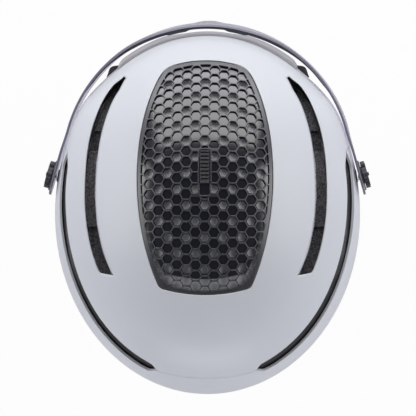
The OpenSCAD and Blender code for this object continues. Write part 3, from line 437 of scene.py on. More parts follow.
# Materials
def new_material(name):
    mat = bpy.data.materials.new(name)
    mat.use_nodes = True
    return mat, mat.node_tree.nodes, mat.node_tree.nodes["Principled BSDF"]


def put(node, **values):
    """Sets or links inputs of a shader node: To_Min stands for the socket To Min."""
    for key, value in values.items():
        socket = node.inputs[key.replace("_", " ")]
        if isinstance(value, bpy.types.NodeSocket):
            node.id_data.links.new(value, socket)
        else:
            socket.default_value = value
    return node


def add(n, kind, **values):
    return put(n.new("ShaderNode" + kind), **values)


def place(n):
    """The object's own coordinates."""
    return add(n, "TexCoord").outputs["Object"]


def noise(n, scale, detail=3.0):
    return add(n, "TexNoise", Scale=scale, Detail=detail, Vector=place(n)).outputs["Fac"]


def spread(n, source, **values):
    """A source mapped from one range onto another."""
    return add(n, "MapRange", Value=source, **values).outputs["Result"]


def bump(n, height, strength, distance, **under):
    node = add(n, "Bump", Strength=strength, Distance=distance, Height=height, **under)
    return node.outputs["Normal"]


def ramp(n, factor, *stops):
    """A colour that runs through stops of position and colour."""
    node = add(n, "ValToRGB", Fac=factor)
    elements = node.color_ramp.elements
    for at, colour in stops[1:-1]:
        elements.new(at)
    for element, (at, colour) in zip(elements, stops):
        element.position, element.color = at, (*colour, 1)
    return node.outputs["Color"]


def tint(n, factor, low, high, a=0.35, b=0.65):
    return ramp(n, factor, (a, low), (b, high))


def join(node, first, *sources):
    """Links the sources to a node's numbered inputs, from the first on."""
    for i, source in enumerate(sources, first):
        node.id_data.links.new(source, node.inputs[i])
    return node


def blended(n, factor, *shaders):
    return join(add(n, "MixShader", Fac=factor), 1, *shaders).outputs["Shader"]


def larger(n, *sources):
    node = join(add(n, "Math"), 0, *sources)
    node.operation = "MAXIMUM"
    return node.outputs["Value"]


def moulded(name, low, high, rough, grain=900.0, depth=0.00006, coat=0.0, soft=0.0,
            specular=0.5, ior=1.5):
    """Moulded plastic or rubber: mottled colour, a fine skin, and softened edges on CAD pieces."""
    mat, n, bsdf = new_material(name)
    under = {}
    if soft:
        bevel = add(n, "Bevel", Radius=soft)
        bevel.samples = 6
        under["Normal"] = bevel.outputs["Normal"]
    put(bsdf, Base_Color=tint(n, noise(n, 55.0), low, high),
        Roughness=spread(n, noise(n, 140.0), To_Min=rough * 0.85, To_Max=min(1.0, rough * 1.2)),
        Normal=bump(n, noise(n, grain), 0.35, depth, **under),
        Coat_Weight=coat, Coat_Roughness=0.12, Specular_IOR_Level=specular, IOR=ior)
    return mat


def bead_foam(name):
    """Expanded bead foam: packed beads on its upward faces, and painted shade, near black, on faces
    turned sideways or down.
    """
    mat, n, bsdf = new_material(name)
    cell = add(n, "TexVoronoi", Scale=1100.0, Vector=place(n))
    way = add(n, "SeparateXYZ", Vector=add(n, "NewGeometry").outputs["True Normal"])
    colour = add(n, "Mix")
    colour.data_type = "RGBA"
    # Painted shade: the colour turns near black where the faces turn sideways or down.
    put(colour, Factor=spread(n, way.outputs["Z"], From_Min=0.42, From_Max=0.6),
        A=(0.030, 0.029, 0.030, 1),
        B=tint(n, cell.outputs["Color"], (0.175, 0.17, 0.185), (0.54, 0.52, 0.57), 0.2, 0.9))
    put(bsdf, Base_Color=colour.outputs["Result"], Roughness=0.62,
        Normal=bump(n, cell.outputs["Distance"], 0.7, 0.0005))
    return mat


def woven(name, low, high, count, rough=0.85, sheen=0.3):
    """Cloth of crossed threads, count threads to the metre along each way."""
    mat, n, bsdf = new_material(name)
    threads = []
    for turn in (0.8, -0.8):
        mapping = add(n, "Mapping", Rotation=(0.6, 0.0, turn), Vector=place(n))
        wave = add(n, "TexWave", Scale=count / 6.28, Distortion=0.6, Detail_Scale=3.0,
                   Vector=mapping.outputs["Vector"])
        threads.append(wave.outputs["Fac"])
    height = larger(n, *threads)
    # Painted shade: the colour is darker down between the threads and lighter on their tops.
    put(bsdf, Base_Color=tint(n, height, low, high, 0.1, 0.9), Roughness=rough, Sheen_Weight=sheen,
        Normal=bump(n, height, 0.6, 0.0003))
    return mat


def shell_paint(name, low, high, rough):
    """Satin lacquer over the outer shell, with a fine orange peel and faint handling marks."""
    mat, n, bsdf = new_material(name)
    put(bsdf, Base_Color=tint(n, noise(n, 9.0, 2.0), low, high),
        Coat_Weight=0.12, Coat_Roughness=0.3,
        Roughness=spread(n, noise(n, 38.0, 6.0), To_Min=rough * 0.9, To_Max=rough * 1.15),
        Normal=bump(n, noise(n, 420.0, 2.0), 0.05, 0.0001))
    return mat


def clear_film(name):
    """Clear polycarbonate: see-through face on, violet-grey and reflecting at a slant."""
    mat, n, bsdf = new_material(name)
    n.remove(bsdf)
    clear = add(n, "BsdfTransparent", Color=(0.93, 0.92, 0.955, 1))
    gloss = add(n, "BsdfGlossy", Color=(0.92, 0.90, 0.98, 1), Roughness=0.06)
    body = add(n, "BsdfTranslucent", Color=(0.56, 0.53, 0.62, 1))
    # The index is turned over on back faces, which would otherwise reflect all light at a slant.
    back = add(n, "NewGeometry").outputs["Backfacing"]
    fresnel = add(n, "Fresnel", IOR=spread(n, back, To_Min=1.5, To_Max=0.667),
                  Normal=bump(n, noise(n, 30.0, 2.0), 0.04, 0.0002))
    slant = add(n, "LayerWeight", Blend=0.35).outputs["Facing"]
    haze = spread(n, slant, From_Min=0.6, To_Min=0.03, To_Max=0.85)
    hazy = blended(n, haze, clear.outputs["BSDF"], body.outputs["BSDF"])
    glossy = blended(n, fresnel.outputs["Fac"], hazy, gloss.outputs["BSDF"])
    put(n["Material Output"], Surface=glossy)
    return mat


def film_edge(name):
    """The visor's cut edge, with painted light: pale at the middle of the front, and painted shade
    in deeper violet towards the sides.
    """
    mat, n, bsdf = new_material(name)
    x = add(n, "SeparateXYZ", Vector=place(n)).outputs["X"]
    across = spread(n, x, From_Min=-0.12, From_Max=0.12)
    # Painted light and shade across X: pale at the middle of the front, deeper violet towards the
    # sides.
    pale, deep = (0.42, 0.405, 0.47), (0.20, 0.185, 0.25)
    put(bsdf, Base_Color=ramp(n, across, (0.16, deep), (0.34, pale), (0.66, pale), (0.84, deep)),
        Roughness=0.25, Normal=bump(n, noise(n, 900.0), 0.3, 0.00002))
    return mat


def steel(name):
    mat, n, bsdf = new_material(name)
    put(bsdf, Base_Color=tint(n, noise(n, 600.0), (0.42, 0.43, 0.45), (0.58, 0.59, 0.61)),
        Metallic=1.0, Roughness=0.34, Normal=bump(n, noise(n, 1500.0), 0.2, 0.00004))
    return mat


# Each material's darker and lighter colour, then its roughness or threads to the metre.
WHITE = shell_paint("white_shell", (0.755, 0.775, 0.805), (0.785, 0.805, 0.83), 0.36)
# Painted light: the lower shell has the crown's white, painted a little lighter on its band.
WHITE_LOW = shell_paint("white_lower_shell", (0.77, 0.785, 0.815), (0.8, 0.815, 0.84), 0.4)
FOAM = bead_foam("bead_foam")
# Partly painted shade: the brow strip's grey-beige is in part its own colour and in part the shade
# of the brow band facing forward.
BROW = moulded("brow_rubber", (0.5, 0.49, 0.475), (0.55, 0.54, 0.525), 0.36, coat=0.3)
SEAL = moulded("seal_rubber", (0.02, 0.018, 0.018), (0.032, 0.028, 0.028), 0.55)
EDGE = moulded("edge_rubber", (0.03, 0.03, 0.034), (0.045, 0.045, 0.05), 0.6)
GRILLE = moulded("grille_plastic", (0.016, 0.016, 0.021), (0.024, 0.024, 0.03), 0.3,
                 specular=0.75, ior=1.9)
# Painted light: the tray is a light grey so that the open air holes look lit down to their floors.
TRAY = moulded("tray_plastic", (0.52, 0.53, 0.55), (0.6, 0.61, 0.63), 0.4, soft=0.0003)
SHUTTER = moulded("shutter_plastic", (0.005, 0.006, 0.011), (0.008, 0.01, 0.016), 0.13,
                  grain=300.0, depth=0.00002, specular=0.8, ior=1.85)
SLIDER = moulded("slider_rubber", (0.008, 0.008, 0.01), (0.014, 0.014, 0.017), 0.22,
                 depth=0.00002, ior=1.8)
# Partly painted light: the net's pale grey is in part its own colour and in part raised to brighten
# the open air holes.
NET = woven("net_mesh", (0.72, 0.73, 0.74), (0.93, 0.94, 0.95), 1500.0)
FILM = clear_film("clear_film")
FILM_EDGE = film_edge("film_edge")
GASKET = moulded("gasket_rubber", (0.03, 0.035, 0.05), (0.042, 0.048, 0.066), 0.5, soft=0.0005)
DARK = moulded("dark_plastic", (0.035, 0.034, 0.042), (0.055, 0.052, 0.064), 0.38, soft=0.0004)
KNOB = moulded("knob_plastic", (0.05, 0.048, 0.06), (0.075, 0.072, 0.088), 0.42, soft=0.0005)
SCREW = steel("screw_steel")
RING = moulded("ring_plastic", (0.045, 0.045, 0.052), (0.065, 0.065, 0.072), 0.45, soft=0.0005)
GEAR = moulded("nylon", (0.5, 0.5, 0.46), (0.58, 0.58, 0.54), 0.5, soft=0.0002)
PAD = woven("pad_knit", (0.03, 0.03, 0.034), (0.085, 0.085, 0.095), 2400.0, 0.95, 0.6)
WEBBING = woven("webbing_weave", (0.012, 0.012, 0.014), (0.045, 0.045, 0.05), 1500.0, 0.7, 0.4)
BUCKLE = moulded("buckle_plastic", (0.025, 0.025, 0.028), (0.042, 0.042, 0.046), 0.34, soft=0.0006)

# The materials of the CAD nodes, without left and right.
LOOKS = (
    (WHITE, "crown_shell"), (WHITE_LOW, "lower_shell"), (FOAM, "eps_liner"), (BROW, "brow_trim"),
    (SEAL, "brow_seal"), (EDGE, "rim_trim"), (GRILLE, "vent_grille"), (TRAY, "vent_base"),
    (NET, "vent_net"), (SHUTTER, "shutter_plate"), (SLIDER, "shutter_slider"), (FILM, "visor_lens"),
    (GASKET, "visor_gasket"), (SCREW, "pivot_screw"), (DARK, "visor_hub pivot_base strap_anchors"),
    (KNOB, "knob adjust_dial"), (GEAR, "rack dial_pinion"),
    (RING, "head_ring ring_clips rear_hanger dial_housing"),
    (BUCKLE, "divider buckle_socket buckle_tongue buckle_latch_front buckle_latch_rear"),
    (BUCKLE, "strap_keeper"),
)


def dress_nodes():
    """Gives every CAD node its material; the pads and straps have none in LOOKS."""
    looks = {name: look for look, names in LOOKS for name in names.split()}
    for name, obj in nodes.items():
        kind = name.removesuffix("_left").removesuffix("_right")
        obj.data.materials.clear()
        obj.data.materials.append(looks.get(kind, PAD if "pad" in kind else WEBBING))


# Shells
def shell_surface(uv):
    return skin(*map_az_e(uv))


def front_drop(w, shift):
    """From 0 on the slit to 1 in front of its end, where both edges drop to the rim."""
    return blend((w - SLIT_END + DROP_RUN / 2 + shift) / DROP_RUN)


def vent_outline(side):
    """The side vent in plan: pointed at the front, cut on a slant at the rear."""
    t = np.linspace(0, 1, 70)
    c = bezier(VENT_LINE, t)
    c[:, 0] += VENT_BOW * np.exp(-((t - 0.1) / 0.09) ** 2) - VENT_BOW * blend((t - 0.3) / 0.25)
    d = unit(np.gradient(c, axis=0))
    n = np.stack([-d[:, 1], d[:, 0]], -1)
    r = VENT_HALF * np.minimum(1, VENT_START + VENT_GROWTH * t) * np.minimum(1, 12 * t + 0.25)
    r = np.maximum(1, r)[:, None]
    ends = [c[-1] + way * n[-1] * (r[-1] + wider) + d[-1] * further
            for way, wider, further in VENT_END]
    outer = np.array([q for q in c + n * r if (q - ends[0]) @ d[-1] < -VENT_CLEAR])
    return plan_to_map(np.vstack([outer, ends, (c - n * r)[::-1]]) * [side, 1])


def panel_side(t, d=0.0):
    """The right side line of the crown panel in plan, drawn in by d."""
    return bezier([(PANEL_CORNER - d, PANEL_FRONT - END_RISE - d), (PANEL_HALF + 8 - d, 70),
                   (PANEL_HALF + 5 - d, -9.4), (PANEL_TAIL - d, END_RISE - PANEL_REAR + d)], t)


def panel_outline(d):
    """The crown panel in plan, drawn in by d."""
    side = panel_side(np.linspace(0, 1, 60), d)
    f = np.linspace(-0.96, 0.96, 25)
    front = np.stack([f * side[0][0], PANEL_FRONT - d - END_RISE * f * f], -1)
    rear = np.stack([-f * side[-1][0], d - PANEL_REAR + END_RISE * f * f], -1)
    return np.vstack([front, side, rear, side[::-1] * [-1, 1]])


def smooth_panel(d):
    """The panel's outline with rounded corners, the front ones most."""
    loop = resample(panel_outline(d), flat, 1.0)
    front = blend((loop[:, 1] - 88) / 12) * blend((np.abs(loop[:, 0]) - 12) / 10)
    return mix(soften(loop, 8), soften(loop, 70), front[:, None])


def shell_fill(step_e=1.6, columns=260):
    """Points over the shell to fill its face, in rings from the top to under the rim."""
    pts = []
    e = 88.0
    while e > -24:
        m = max(24, int(columns * math.cos(math.radians(e * 0.98))))
        az = (np.arange(m) + 0.5 * (len(pts) % 2)) * 360.0 / m
        pts.append(to_map(az, np.full(m, e)))
        e -= step_e
    return np.vstack(pts)


def slit_rounding(outline, most):
    """Edge rounding of a shell: slight at the rear seam and at the front, most along the slit."""
    w = from_rear(map_az_e(outline)[0])
    seam, nose = blend((w - SEAM_FROM) / ROUND_RUN), blend((w - NOSE_FROM) / ROUND_RUN)
    return mix(mix(ROUND_SEAM, most, seam), ROUND_FRONT, nose)


def make_crown_shell():
    az = np.linspace(0, 360, 3000, endpoint=False)
    low = mix(slit_e(az, -1), rim_e(az), front_drop(from_rear(az), 0))
    outline = resample(to_map(az, low), shell_surface, 2.0)
    holes = [resample(vent_outline(side), shell_surface, 1.5) for side in (-1, 1)]
    holes.append(resample(plan_to_map(smooth_panel(-SEAT_GAP)), shell_surface, 1.8))
    radius = [slit_rounding(outline, ROUND_CROWN), ROUND_VENT, ROUND_VENT, ROUND_PANEL]
    make_sheet("crown_shell_skin", "crown_shell", "shell_white", WHITE, ROOT, shell_surface,
               [outline] + holes, shell_fill(), SHELL_GAP, SHELL_T, radius, upright=(1, 2, 3))


def make_lower_shell():
    az = np.linspace(270 - SLIT_END - 1, 270 + SLIT_END + 1, 2400)
    top = mix(slit_e(az, 1), rim_e(az), front_drop(from_rear(az), 0.15))
    shown = top - rim_e(az) > 0.05
    upper, rim = to_map(az, np.maximum(top, rim_e(az)))[shown], to_map(az, rim_e(az))[shown]
    outline = resample(np.vstack([upper, rim[::-1]]), shell_surface, 2.0)
    make_sheet("lower_shell_skin", "lower_shell", "shell_lower", WHITE_LOW, ROOT, shell_surface,
               [outline], shell_fill(), SHELL_GAP, SHELL_T, [slit_rounding(outline, ROUND_LOW)])


# Crown vent
def wrap_profile(x):
    return WRAP_R - CROSS_R + np.sqrt(CROSS_R ** 2 - x * x)


def wrap_surface(uv, depth=0.0):
    """Points on the vent's wrapped layers; uv holds the distance across and the run along."""
    x, run = uv.T
    a, r = run / WRAP_R, wrap_profile(x) - depth
    return np.stack([x, r * np.sin(a), r * np.cos(a) - WRAP_DROP], -1)


def plan_to_wrap(xy):
    x, y = xy.T
    return np.stack([x, WRAP_R * np.arcsin(y / wrap_profile(x))], -1)


def wrap_down(p, _normals):
    """The way down through the layers, square to the wrap's axis."""
    d = p - np.array([0, 0, -WRAP_DROP])
    d[:, 0] = 0
    return -unit(d)


def clip(poly, point, normal):
    """The part of the polygon on the side that the normal points to."""
    out = []
    for a, b in zip(poly, np.roll(poly, -1, 0)):
        da, db = (a - point) @ normal, (b - point) @ normal
        if da >= 0:
            out.append(a)
        if (da >= 0) != (db >= 0):
            out.append(a + (b - a) * da / (da - db))
    return np.array(out) if len(out) > 2 else None


def round_corners(poly, r, n=3):
    """The polygon with every corner cut back by r and rounded with n points."""
    out = []
    for a, b, c in zip(np.roll(poly, 1, 0), poly, np.roll(poly, -1, 0)):
        la, lc = np.linalg.norm(a - b), np.linalg.norm(c - b)
        if la < 1e-6 or lc < 1e-6:
            continue
        cut = min(r, 0.45 * la, 0.45 * lc)
        p, q = b + (a - b) / la * cut, b + (c - b) / lc * cut
        for k in range(n):
            t = k / (n - 1)
            out.append((1 - t) ** 2 * p + 2 * t * (1 - t) * b + t * t * q)
    return np.array(out)


def slot_ends(grow):
    """The runs at which the slider's slot ends; one row of it is for the travel."""
    return (SLIDER_MID - SLIDER_L / 2 - ROW_PITCH - SLOT_GAP - grow,
            SLIDER_MID + SLIDER_L / 2 + SLOT_GAP + grow)


def cut_to(poly, limit):
    """The part of the polygon inside a convex loop that runs anticlockwise."""
    for a, b in zip(limit, np.roll(limit, -1, 0)):
        if poly is None:
            break
        poly = clip(poly, a, np.array([a[1] - b[1], b[0] - a[0]]))
    return poly


def cells():
    """Outlines of the honeycomb's open cells, cut at the smooth band and at the slider's slot."""
    limit = turned(plan_to_wrap(resample(panel_outline(PANEL_RIM), flat, 5.0)), True)
    s0, s1 = slot_ends(SLOT_RIM)
    half = SLIDER_W / 2 + SLOT_GAP + SLOT_RIM
    slot_sides = (((half, 0), (1, 0)), ((-half, 0), (-1, 0)), ((0, s0), (0, -1)), ((0, s1), (0, 1)))
    found = []
    for k in range(-COLUMNS, COLUMNS + 1):
        for row in range(-11, 17):
            centre = np.array([k * COL_PITCH, ROW_START + (row + 0.5 * (k % 2)) * ROW_PITCH])
            poly = cut_to(centre + CELL_R * HEXAGON, limit)
            if poly is None:
                continue
            lo, hi = poly.min(0), poly.max(0)
            if lo[0] < half and hi[0] > -half and lo[1] < s1 and hi[1] > s0:
                sides = [clip(poly, *np.array(line, float)) for line in slot_sides]
                sides = [side for side in sides if side is not None]
                poly = max(sides, key=lambda side: abs(area_of(side))) if sides else None
            if poly is not None and abs(area_of(poly)) >= CELL_LEAST:
                found.append(round_corners(poly, CELL_ROUND))
    return found


def wrap_fill(gap, shift):
    """An even grid of points over the wrapped panel."""
    x, run = np.meshgrid(np.arange(-60, 61, gap), np.arange(-75, 135, gap))
    return np.stack([x.ravel() + shift, run.ravel()], -1)


def make_grille():
    outline = resample(plan_to_wrap(smooth_panel(0.0)), wrap_surface, 1.6)
    s0, s1 = slot_ends(0.0)
    half = SLIDER_W / 2 + SLOT_GAP
    corners = np.array([[half, s0], [half, s1], [-half, s1], [-half, s0]])
    slot = resample(round_corners(corners, SLOT_ROUND, 5), wrap_surface, 1.5)
    holes = [slot] + cells()
    radius = [0.9, 0.4] + [0.32] * (len(holes) - 1)
    make_sheet("honeycomb_grille", "vent_grille", "grille", GRILLE, ROOT, wrap_surface,
               [outline] + holes, wrap_fill(2.5, 0), 1.6, GRILLE_T, radius, down=wrap_down, arc=3)


def hole_reach(y):
    """Half the panel's width at y in plan."""
    side = panel_side(np.arange(29) / 28)
    return side[side[:, 1] >= y][-1][0]


def air_holes(rear_inset):
    """The hexagonal air holes under every third cell of a column."""
    edge = PANEL_RIM + AIR_HOLE_D / 2 + HOLE_EDGE
    found = []
    for k in range(-COLUMNS, COLUMNS + 1):
        for trio in range(-4, 7):
            row = 3 * trio + 1.5 * (k % 2)
            run = ROW_START + row * ROW_PITCH
            y = WRAP_R * math.sin(run / WRAP_R)
            if y >= PANEL_FRONT - END_RISE - edge or y <= edge + rear_inset - PANEL_REAR:
                continue
            by_slot = k == 0 and abs(row - SLIDER_ROW + 0.5) < SLIDER_L / ROW_PITCH / 2 + 0.6
            if abs(k) * COL_PITCH < hole_reach(y) - edge and not by_slot:
                centre = np.array([k * COL_PITCH, run])
                found.append(round_corners(centre + AIR_HOLE_D / 2 * HEXAGON, HOLE_ROUND))
    return found


def make_shutter():
    """The panel's shape less one row at the rear, so that the plate can slide back."""
    outline = resample(panel_outline(SHUTTER_INSET), flat, 3.0)
    outline = cut_to(outline, turned(outline + [0, ROW_PITCH + SLIDE_GAP], True))

    def surface(uv):
        return wrap_surface(uv, GRILLE_T + SLIDE_GAP)

    outline = resample(plan_to_wrap(outline), surface, 2.0)
    make_sheet("shutter_sheet", "shutter_plate", "shutter", SHUTTER, "shutter", surface,
               [outline] + air_holes(ROW_PITCH), wrap_fill(2.6, 0.02), 1.8, SHUTTER_T, 0.3,
               down=wrap_down, arc=2)


def make_slider():
    """The ribbed thumb piece that stands in the slot."""
    rows = []
    for t in np.linspace(-1, 1, 260):
        rib = abs(math.sin((t + 1) / 2 * SLIDER_RIBS * math.pi)) ** 3
        ends = math.sqrt(max(0.0, 1 - max(0.0, (abs(t) - SLIDER_END) / (1 - SLIDER_END)) ** 2))
        box = round_box(-SLIDER_W / 2, SLIDER_W / 2, -(SLIDER_UP + RIB_UP * rib) * ends,
                        GRILLE_T + SLIDE_GAP, SLIDER_ROUND)
        at = np.stack([box[:, 0], np.full(len(box), SLIDER_MID + t * SLIDER_L / 2)], -1)
        rows.append(wrap_surface(at, box[:, 1]))
    make_loft("shutter_thumb_piece", "shutter_slider", SLIDER, "shutter", rows)


# Visor
FILM_TOP_R = VISOR_R - FILM_LEAN_SIDE
ARC_P = math.radians(90 - ARM_AZ) * VISOR_R
ARM_START = np.array([FILM_TOP_R * math.cos(math.radians(ARM_AZ)),
                      VISOR_Y + FILM_TOP_R * math.sin(math.radians(ARM_AZ))])
EAR_XY = np.array([EAR_X, PIVOT_Y])
ARM_L = float(np.linalg.norm(ARM_START - EAR_XY))
ARM_D = (EAR_XY - ARM_START) / ARM_L
ARM_N = np.array([-ARM_D[1], ARM_D[0]])
EAR_P = ARC_P + ARM_L


def film_r(z, off):
    """The visor's radius at a height and an angle off the middle, where it leans out most."""
    drop = np.clip((VISOR_TOP - z) / (VISOR_TOP + VISOR_LOW), 0, 1)
    side = blend((off - LEAN_FROM) / LEAN_RUN)
    lean = mix(FILM_LEAN, FILM_LEAN_SIDE, side) * (1 - sind(90 * drop))
    return VISOR_R + mix(FILM_BULGE, 0.0, side) - lean


def film_surface(uv):
    """Points on the visor's outside; uv holds the run from the front's middle and the height."""
    p, z = uv.T
    side = np.where(p < 0, -1.0, 1.0)
    q = np.abs(p)
    off = np.degrees(np.minimum(q, ARC_P) / VISOR_R)
    az = np.radians(90 - off)
    r = film_r(z, off) + NOSE_FLARE * np.exp(-(p / FLARE_HALF) ** 4) * blend(-z / FLARE_RUN)
    x, y = r * np.cos(az), VISOR_Y + r * np.sin(az)
    past = np.maximum(0, q - ARC_P)
    out = blend(past / (ARM_L * 0.6)) * (VISOR_T / 2 - (film_r(z, 90.0) - FILM_TOP_R))
    x = x + past * ARM_D[0] + out * ARM_N[0]
    y = y + past * ARM_D[1] + out * ARM_N[1]
    return np.stack([side * x, y, z], -1)


def film_outline():
    """Half of the visor's edge from the top middle to the nose arch, then mirrored."""
    def run(y):
        return math.acos((y - VISOR_Y) / VISOR_R) * VISOR_R

    def arc(x, z, r, start, end, n):
        return [(x + r * math.cos(t), z + r * math.sin(t)) for t in np.linspace(start, end, n)]

    ear = arc(EAR_P, PIVOT_Z, EAR_R, math.radians(86), math.radians(-94), 26)
    y0 = ARM_START[1]
    low = catmull([ear[-1], (ARC_P + ARM_L * 0.75, PIVOT_Z - EAR_R - 0.4),
                   (ARC_P + ARM_L * 0.45, -11.5), (ARC_P + ARM_L * 0.2, -22), (ARC_P - 1, -38),
                   (run(y0 + 9), -53), (run(y0 + 22), -67), (run(y0 + 38), -74.4),
                   (run(y0 + 52), -VISOR_LOW), (34.0, -VISOR_LOW)], 6)
    nose_z = -VISOR_LOW - NOSE_R * 0.45
    reach = math.asin((nose_z + VISOR_LOW) / -NOSE_R)
    nose = arc(0.0, nose_z, NOSE_R, reach, math.pi / 2, 14)
    top = [(at, VISOR_TOP) for at in (0.0, 60.0, 120.0, ARC_P - 12)]
    half = np.vstack([top, [(ARC_P + 6, VISOR_TOP - 0.5)], ear, low[1:], nose[:-1],
                      [(0.0, nose_z + NOSE_R)]])
    return np.vstack([half, half[1:-1][::-1] * [-1, 1]])


def make_film():
    outline = soften(resample(film_outline(), film_surface, 1.6), 2)
    p, z = np.meshgrid(np.arange(-EAR_P - 12, EAR_P + 13, 4.0), np.arange(-76, 20, 4.0))
    fill = np.stack([p.ravel() + 0.013, z.ravel()], -1)
    obj, edge_faces = make_sheet("visor_film", "visor_lens", "film", FILM, "visor", film_surface,
                                 [outline], fill, 3.6, VISOR_T, FILM_ROUND, flip=True)
    obj.data.materials.append(FILM_EDGE)
    for i in edge_faces:
        obj.data.polygons[i].material_index = 1


def make_gasket():
    """The seal inside the visor's top edge: thin at the middle, thicker beside it."""
    reach = math.degrees(math.asin(GASKET_REACH / VISOR_R))
    rows = []
    for a in np.linspace(90 - reach, 90 + reach, 220):
        t = math.radians(a)
        x = abs(VISOR_R * math.cos(t))
        near, wide = blend((x - BESIDE_FROM) / BESIDE_RUN), blend((x - WIDE_FROM) / WIDE_RUN)
        beside = mix(GASKET_NOTCH, GASKET_BESIDE, near)
        thick = GASKET_T * mix(beside, GASKET_WIDE, wide)
        thick *= mix(1.0, GASKET_END, blend((x - END_FROM) / END_RUN))
        thick *= blend((reach - abs(a - 90)) / 6 + 0.1)
        box = round_box(0.02, thick, VISOR_TOP - GASKET_H, VISOR_TOP - 0.4, 0.6)
        r = film_r(box[:, 1], abs(a - 90)) - VISOR_T - box[:, 0]
        rows.append(np.stack([r * math.cos(t), VISOR_Y + r * math.sin(t), box[:, 1]], -1))
    make_loft("visor_gasket_bead", "visor_gasket", GASKET, "visor", rows)


# Edge strips
def make_strip(name, node, material, middle, half, n, profile):
    """A strip round the shell: profile(az) gives its closed section as (elevation, off) pairs."""
    rows = []
    for az in np.linspace(middle - half, middle + half, n):
        sec = profile(az)
        rows.append(skin(np.full(len(sec), az), sec[:, 0], sec[:, 1]))
    make_loft(name, node, material, ROOT, rows)


def brow_section(az):
    """The brow strip's ledge over the rim, thinning to a skin towards its upper edge."""
    d = abs(az - 90)
    lip = mix(BROW_LIP, BROW_SIDE, blend((d - LIP_FROM) / LIP_RUN))
    share = max(0.0, min(1.0, (BROW_HALF - d) / BROW_TAPER)) ** 0.6
    out = -BROW_SINK - (lip - BROW_SINK) * share
    low, top = float(rim_e(az)), math.degrees(math.asin(BROW_TOP / CROWN_H))
    s = np.linspace(0, 1, 22) ** 1.8
    ledge = 0.5 * (1 - s) + 0.5 * np.exp(-(s / 0.12) ** 1.3)
    crown = np.minimum(-BROW_SKIN, out * ledge * np.minimum(1.0, 0.4 + s / 0.03))
    outer = np.stack([mix(low, top, s), crown], -1)
    return np.vstack([outer, [[top, -0.3], [low, -0.3]]])


def seal_section(az):
    """The seal under the brow strip, which stands out in a knob near either end."""
    knob = math.exp(-((abs(az - 90) - SEAL_HALF + SEAL_KNOB_IN) / SEAL_KNOB_HALF) ** 2)
    top = float(rim_e(az)) - RIM_SEAT
    return round_box(top - SEAL_TALL, top, -SEAL_OUT - SEAL_KNOB * knob, SHELL_T, 0.6)


def rim_section(az):
    top = float(rim_e(az)) - RIM_SEAT
    height = math.degrees(EDGE_H / SKIRT_R) - RIM_SEAT
    return round_box(0, height, 0.3, 7.0, 1.3) + [top - height, 0]


def make_strips():
    make_strip("brow_strip", "brow_trim", BROW, 90, BROW_HALF, 90, brow_section)
    make_strip("brow_seal_bead", "brow_seal", SEAL, 90, SEAL_HALF, 120, seal_section)
    make_strip("rim_bead", "rim_trim", EDGE, 270, RIM_HALF, 260, rim_section)


# Soft pieces
def pad_rise(t):
    return np.maximum(0, np.sin(np.pi * t)) ** 0.4


def sewn(t, count):
    """1, and less where each of the count - 1 sewn channels crosses."""
    near = (np.mod(t * count + 0.5, 1) - 0.5) * 7
    inner = (t > 0.5 / count) & (t < 1 - 0.5 / count)
    return 1 - SEAM_DEPTH * np.exp(-near ** 2) * inner


def cushion(name, at, n, m, channels, node, thick=PAD_T):
    """A crowned knit pad between its back, at(s, t, 0), and its face."""
    s, t = np.meshgrid(np.linspace(0, 1, n), np.linspace(0, 1, m), indexing="ij")
    rise = PAD_LEAST + (thick - PAD_LEAST) * pad_rise(s) * pad_rise(t) * sewn(s, channels)
    waist = 0.5 + (t - 0.5) * (1 - 0.05 * (1 - sewn(s, channels)) / SEAM_DEPTH)
    face = at(s.ravel(), waist.ravel(), rise.ravel())
    back = at(s.ravel(), waist.ravel(), 0 * rise.ravel())
    k, faces = n * m, []
    for i in range(n - 1):
        for j in range(m - 1):
            a, b = i * m + j, (i + 1) * m + j
            faces += [(a, b, b + 1, a + 1), (a + k, a + k + 1, b + k + 1, b + k)]
    rim = [i * m for i in range(n)] + [(n - 1) * m + j for j in range(1, m)]
    rim += [i * m + m - 1 for i in range(n - 2, -1, -1)] + list(range(m - 2, 0, -1))
    faces += [(a, a + k, b + k, b) for a, b in zip(rim, rim[1:] + rim[:1])]
    verts = np.vstack([face, back])
    make(name, node, PAD, ROOT, verts, outward(verts, faces))


def ring_point(az, inward, lift):
    """Points inside the head ring, which drops towards the dial at the rear."""
    z = mix(-DIAL_DROP, RING_LEVEL, blend((from_rear(az) - 30) / 75))
    return np.stack([(RING_W - inward) * cosd(az), (RING_L - inward) * sind(az), z + lift], -1)


def make_pads():
    foam = WALL_T + FACET_GAP
    nape_r = RACK_R - HOUSE_IN - PAD_SEAT

    def brow_at(s, t, d):
        return ring_point(52 + 76 * s, RING_T + PAD_SEAT + d, 11 - 22 * t)

    def crown_at(side):
        def at(s, t, d):
            x, y = mix(14, 34, t), mix(-42, 62, s)
            off = foam + d
            z = (CROWN_H - off) * np.sqrt(1 - (x / (HALF_W - off)) ** 2 - (y / (HALF_L - off)) ** 2)
            return np.stack([side * x, y, z], -1)
        return at

    def side_at(start):
        return lambda s, t, d: skin(start + 40 * s, mix(40, 17, t), foam + d)

    def nape_at(s, t, d):
        az = 244 + 52 * s
        r = nape_r - d
        return np.stack([r * cosd(az), RACK_Y + r * sind(az), -DIAL_DROP + 11 - 22 * t], -1)

    cushion("brow_pad_knit", brow_at, 97, 25, 4, "brow_pad")
    for side, word, start in ((-1, "left", 164), (1, "right", -24)):
        cushion("crown_pad_knit_" + word, crown_at(side), 81, 23, 3, "crown_pad_" + word)
        cushion("side_pad_knit_" + word, side_at(start), 65, 31, 2, "side_pad_" + word)
    cushion("nape_pad_knit", nape_at, 65, 23, 3, "nape_pad", PAD_T - 1.2)


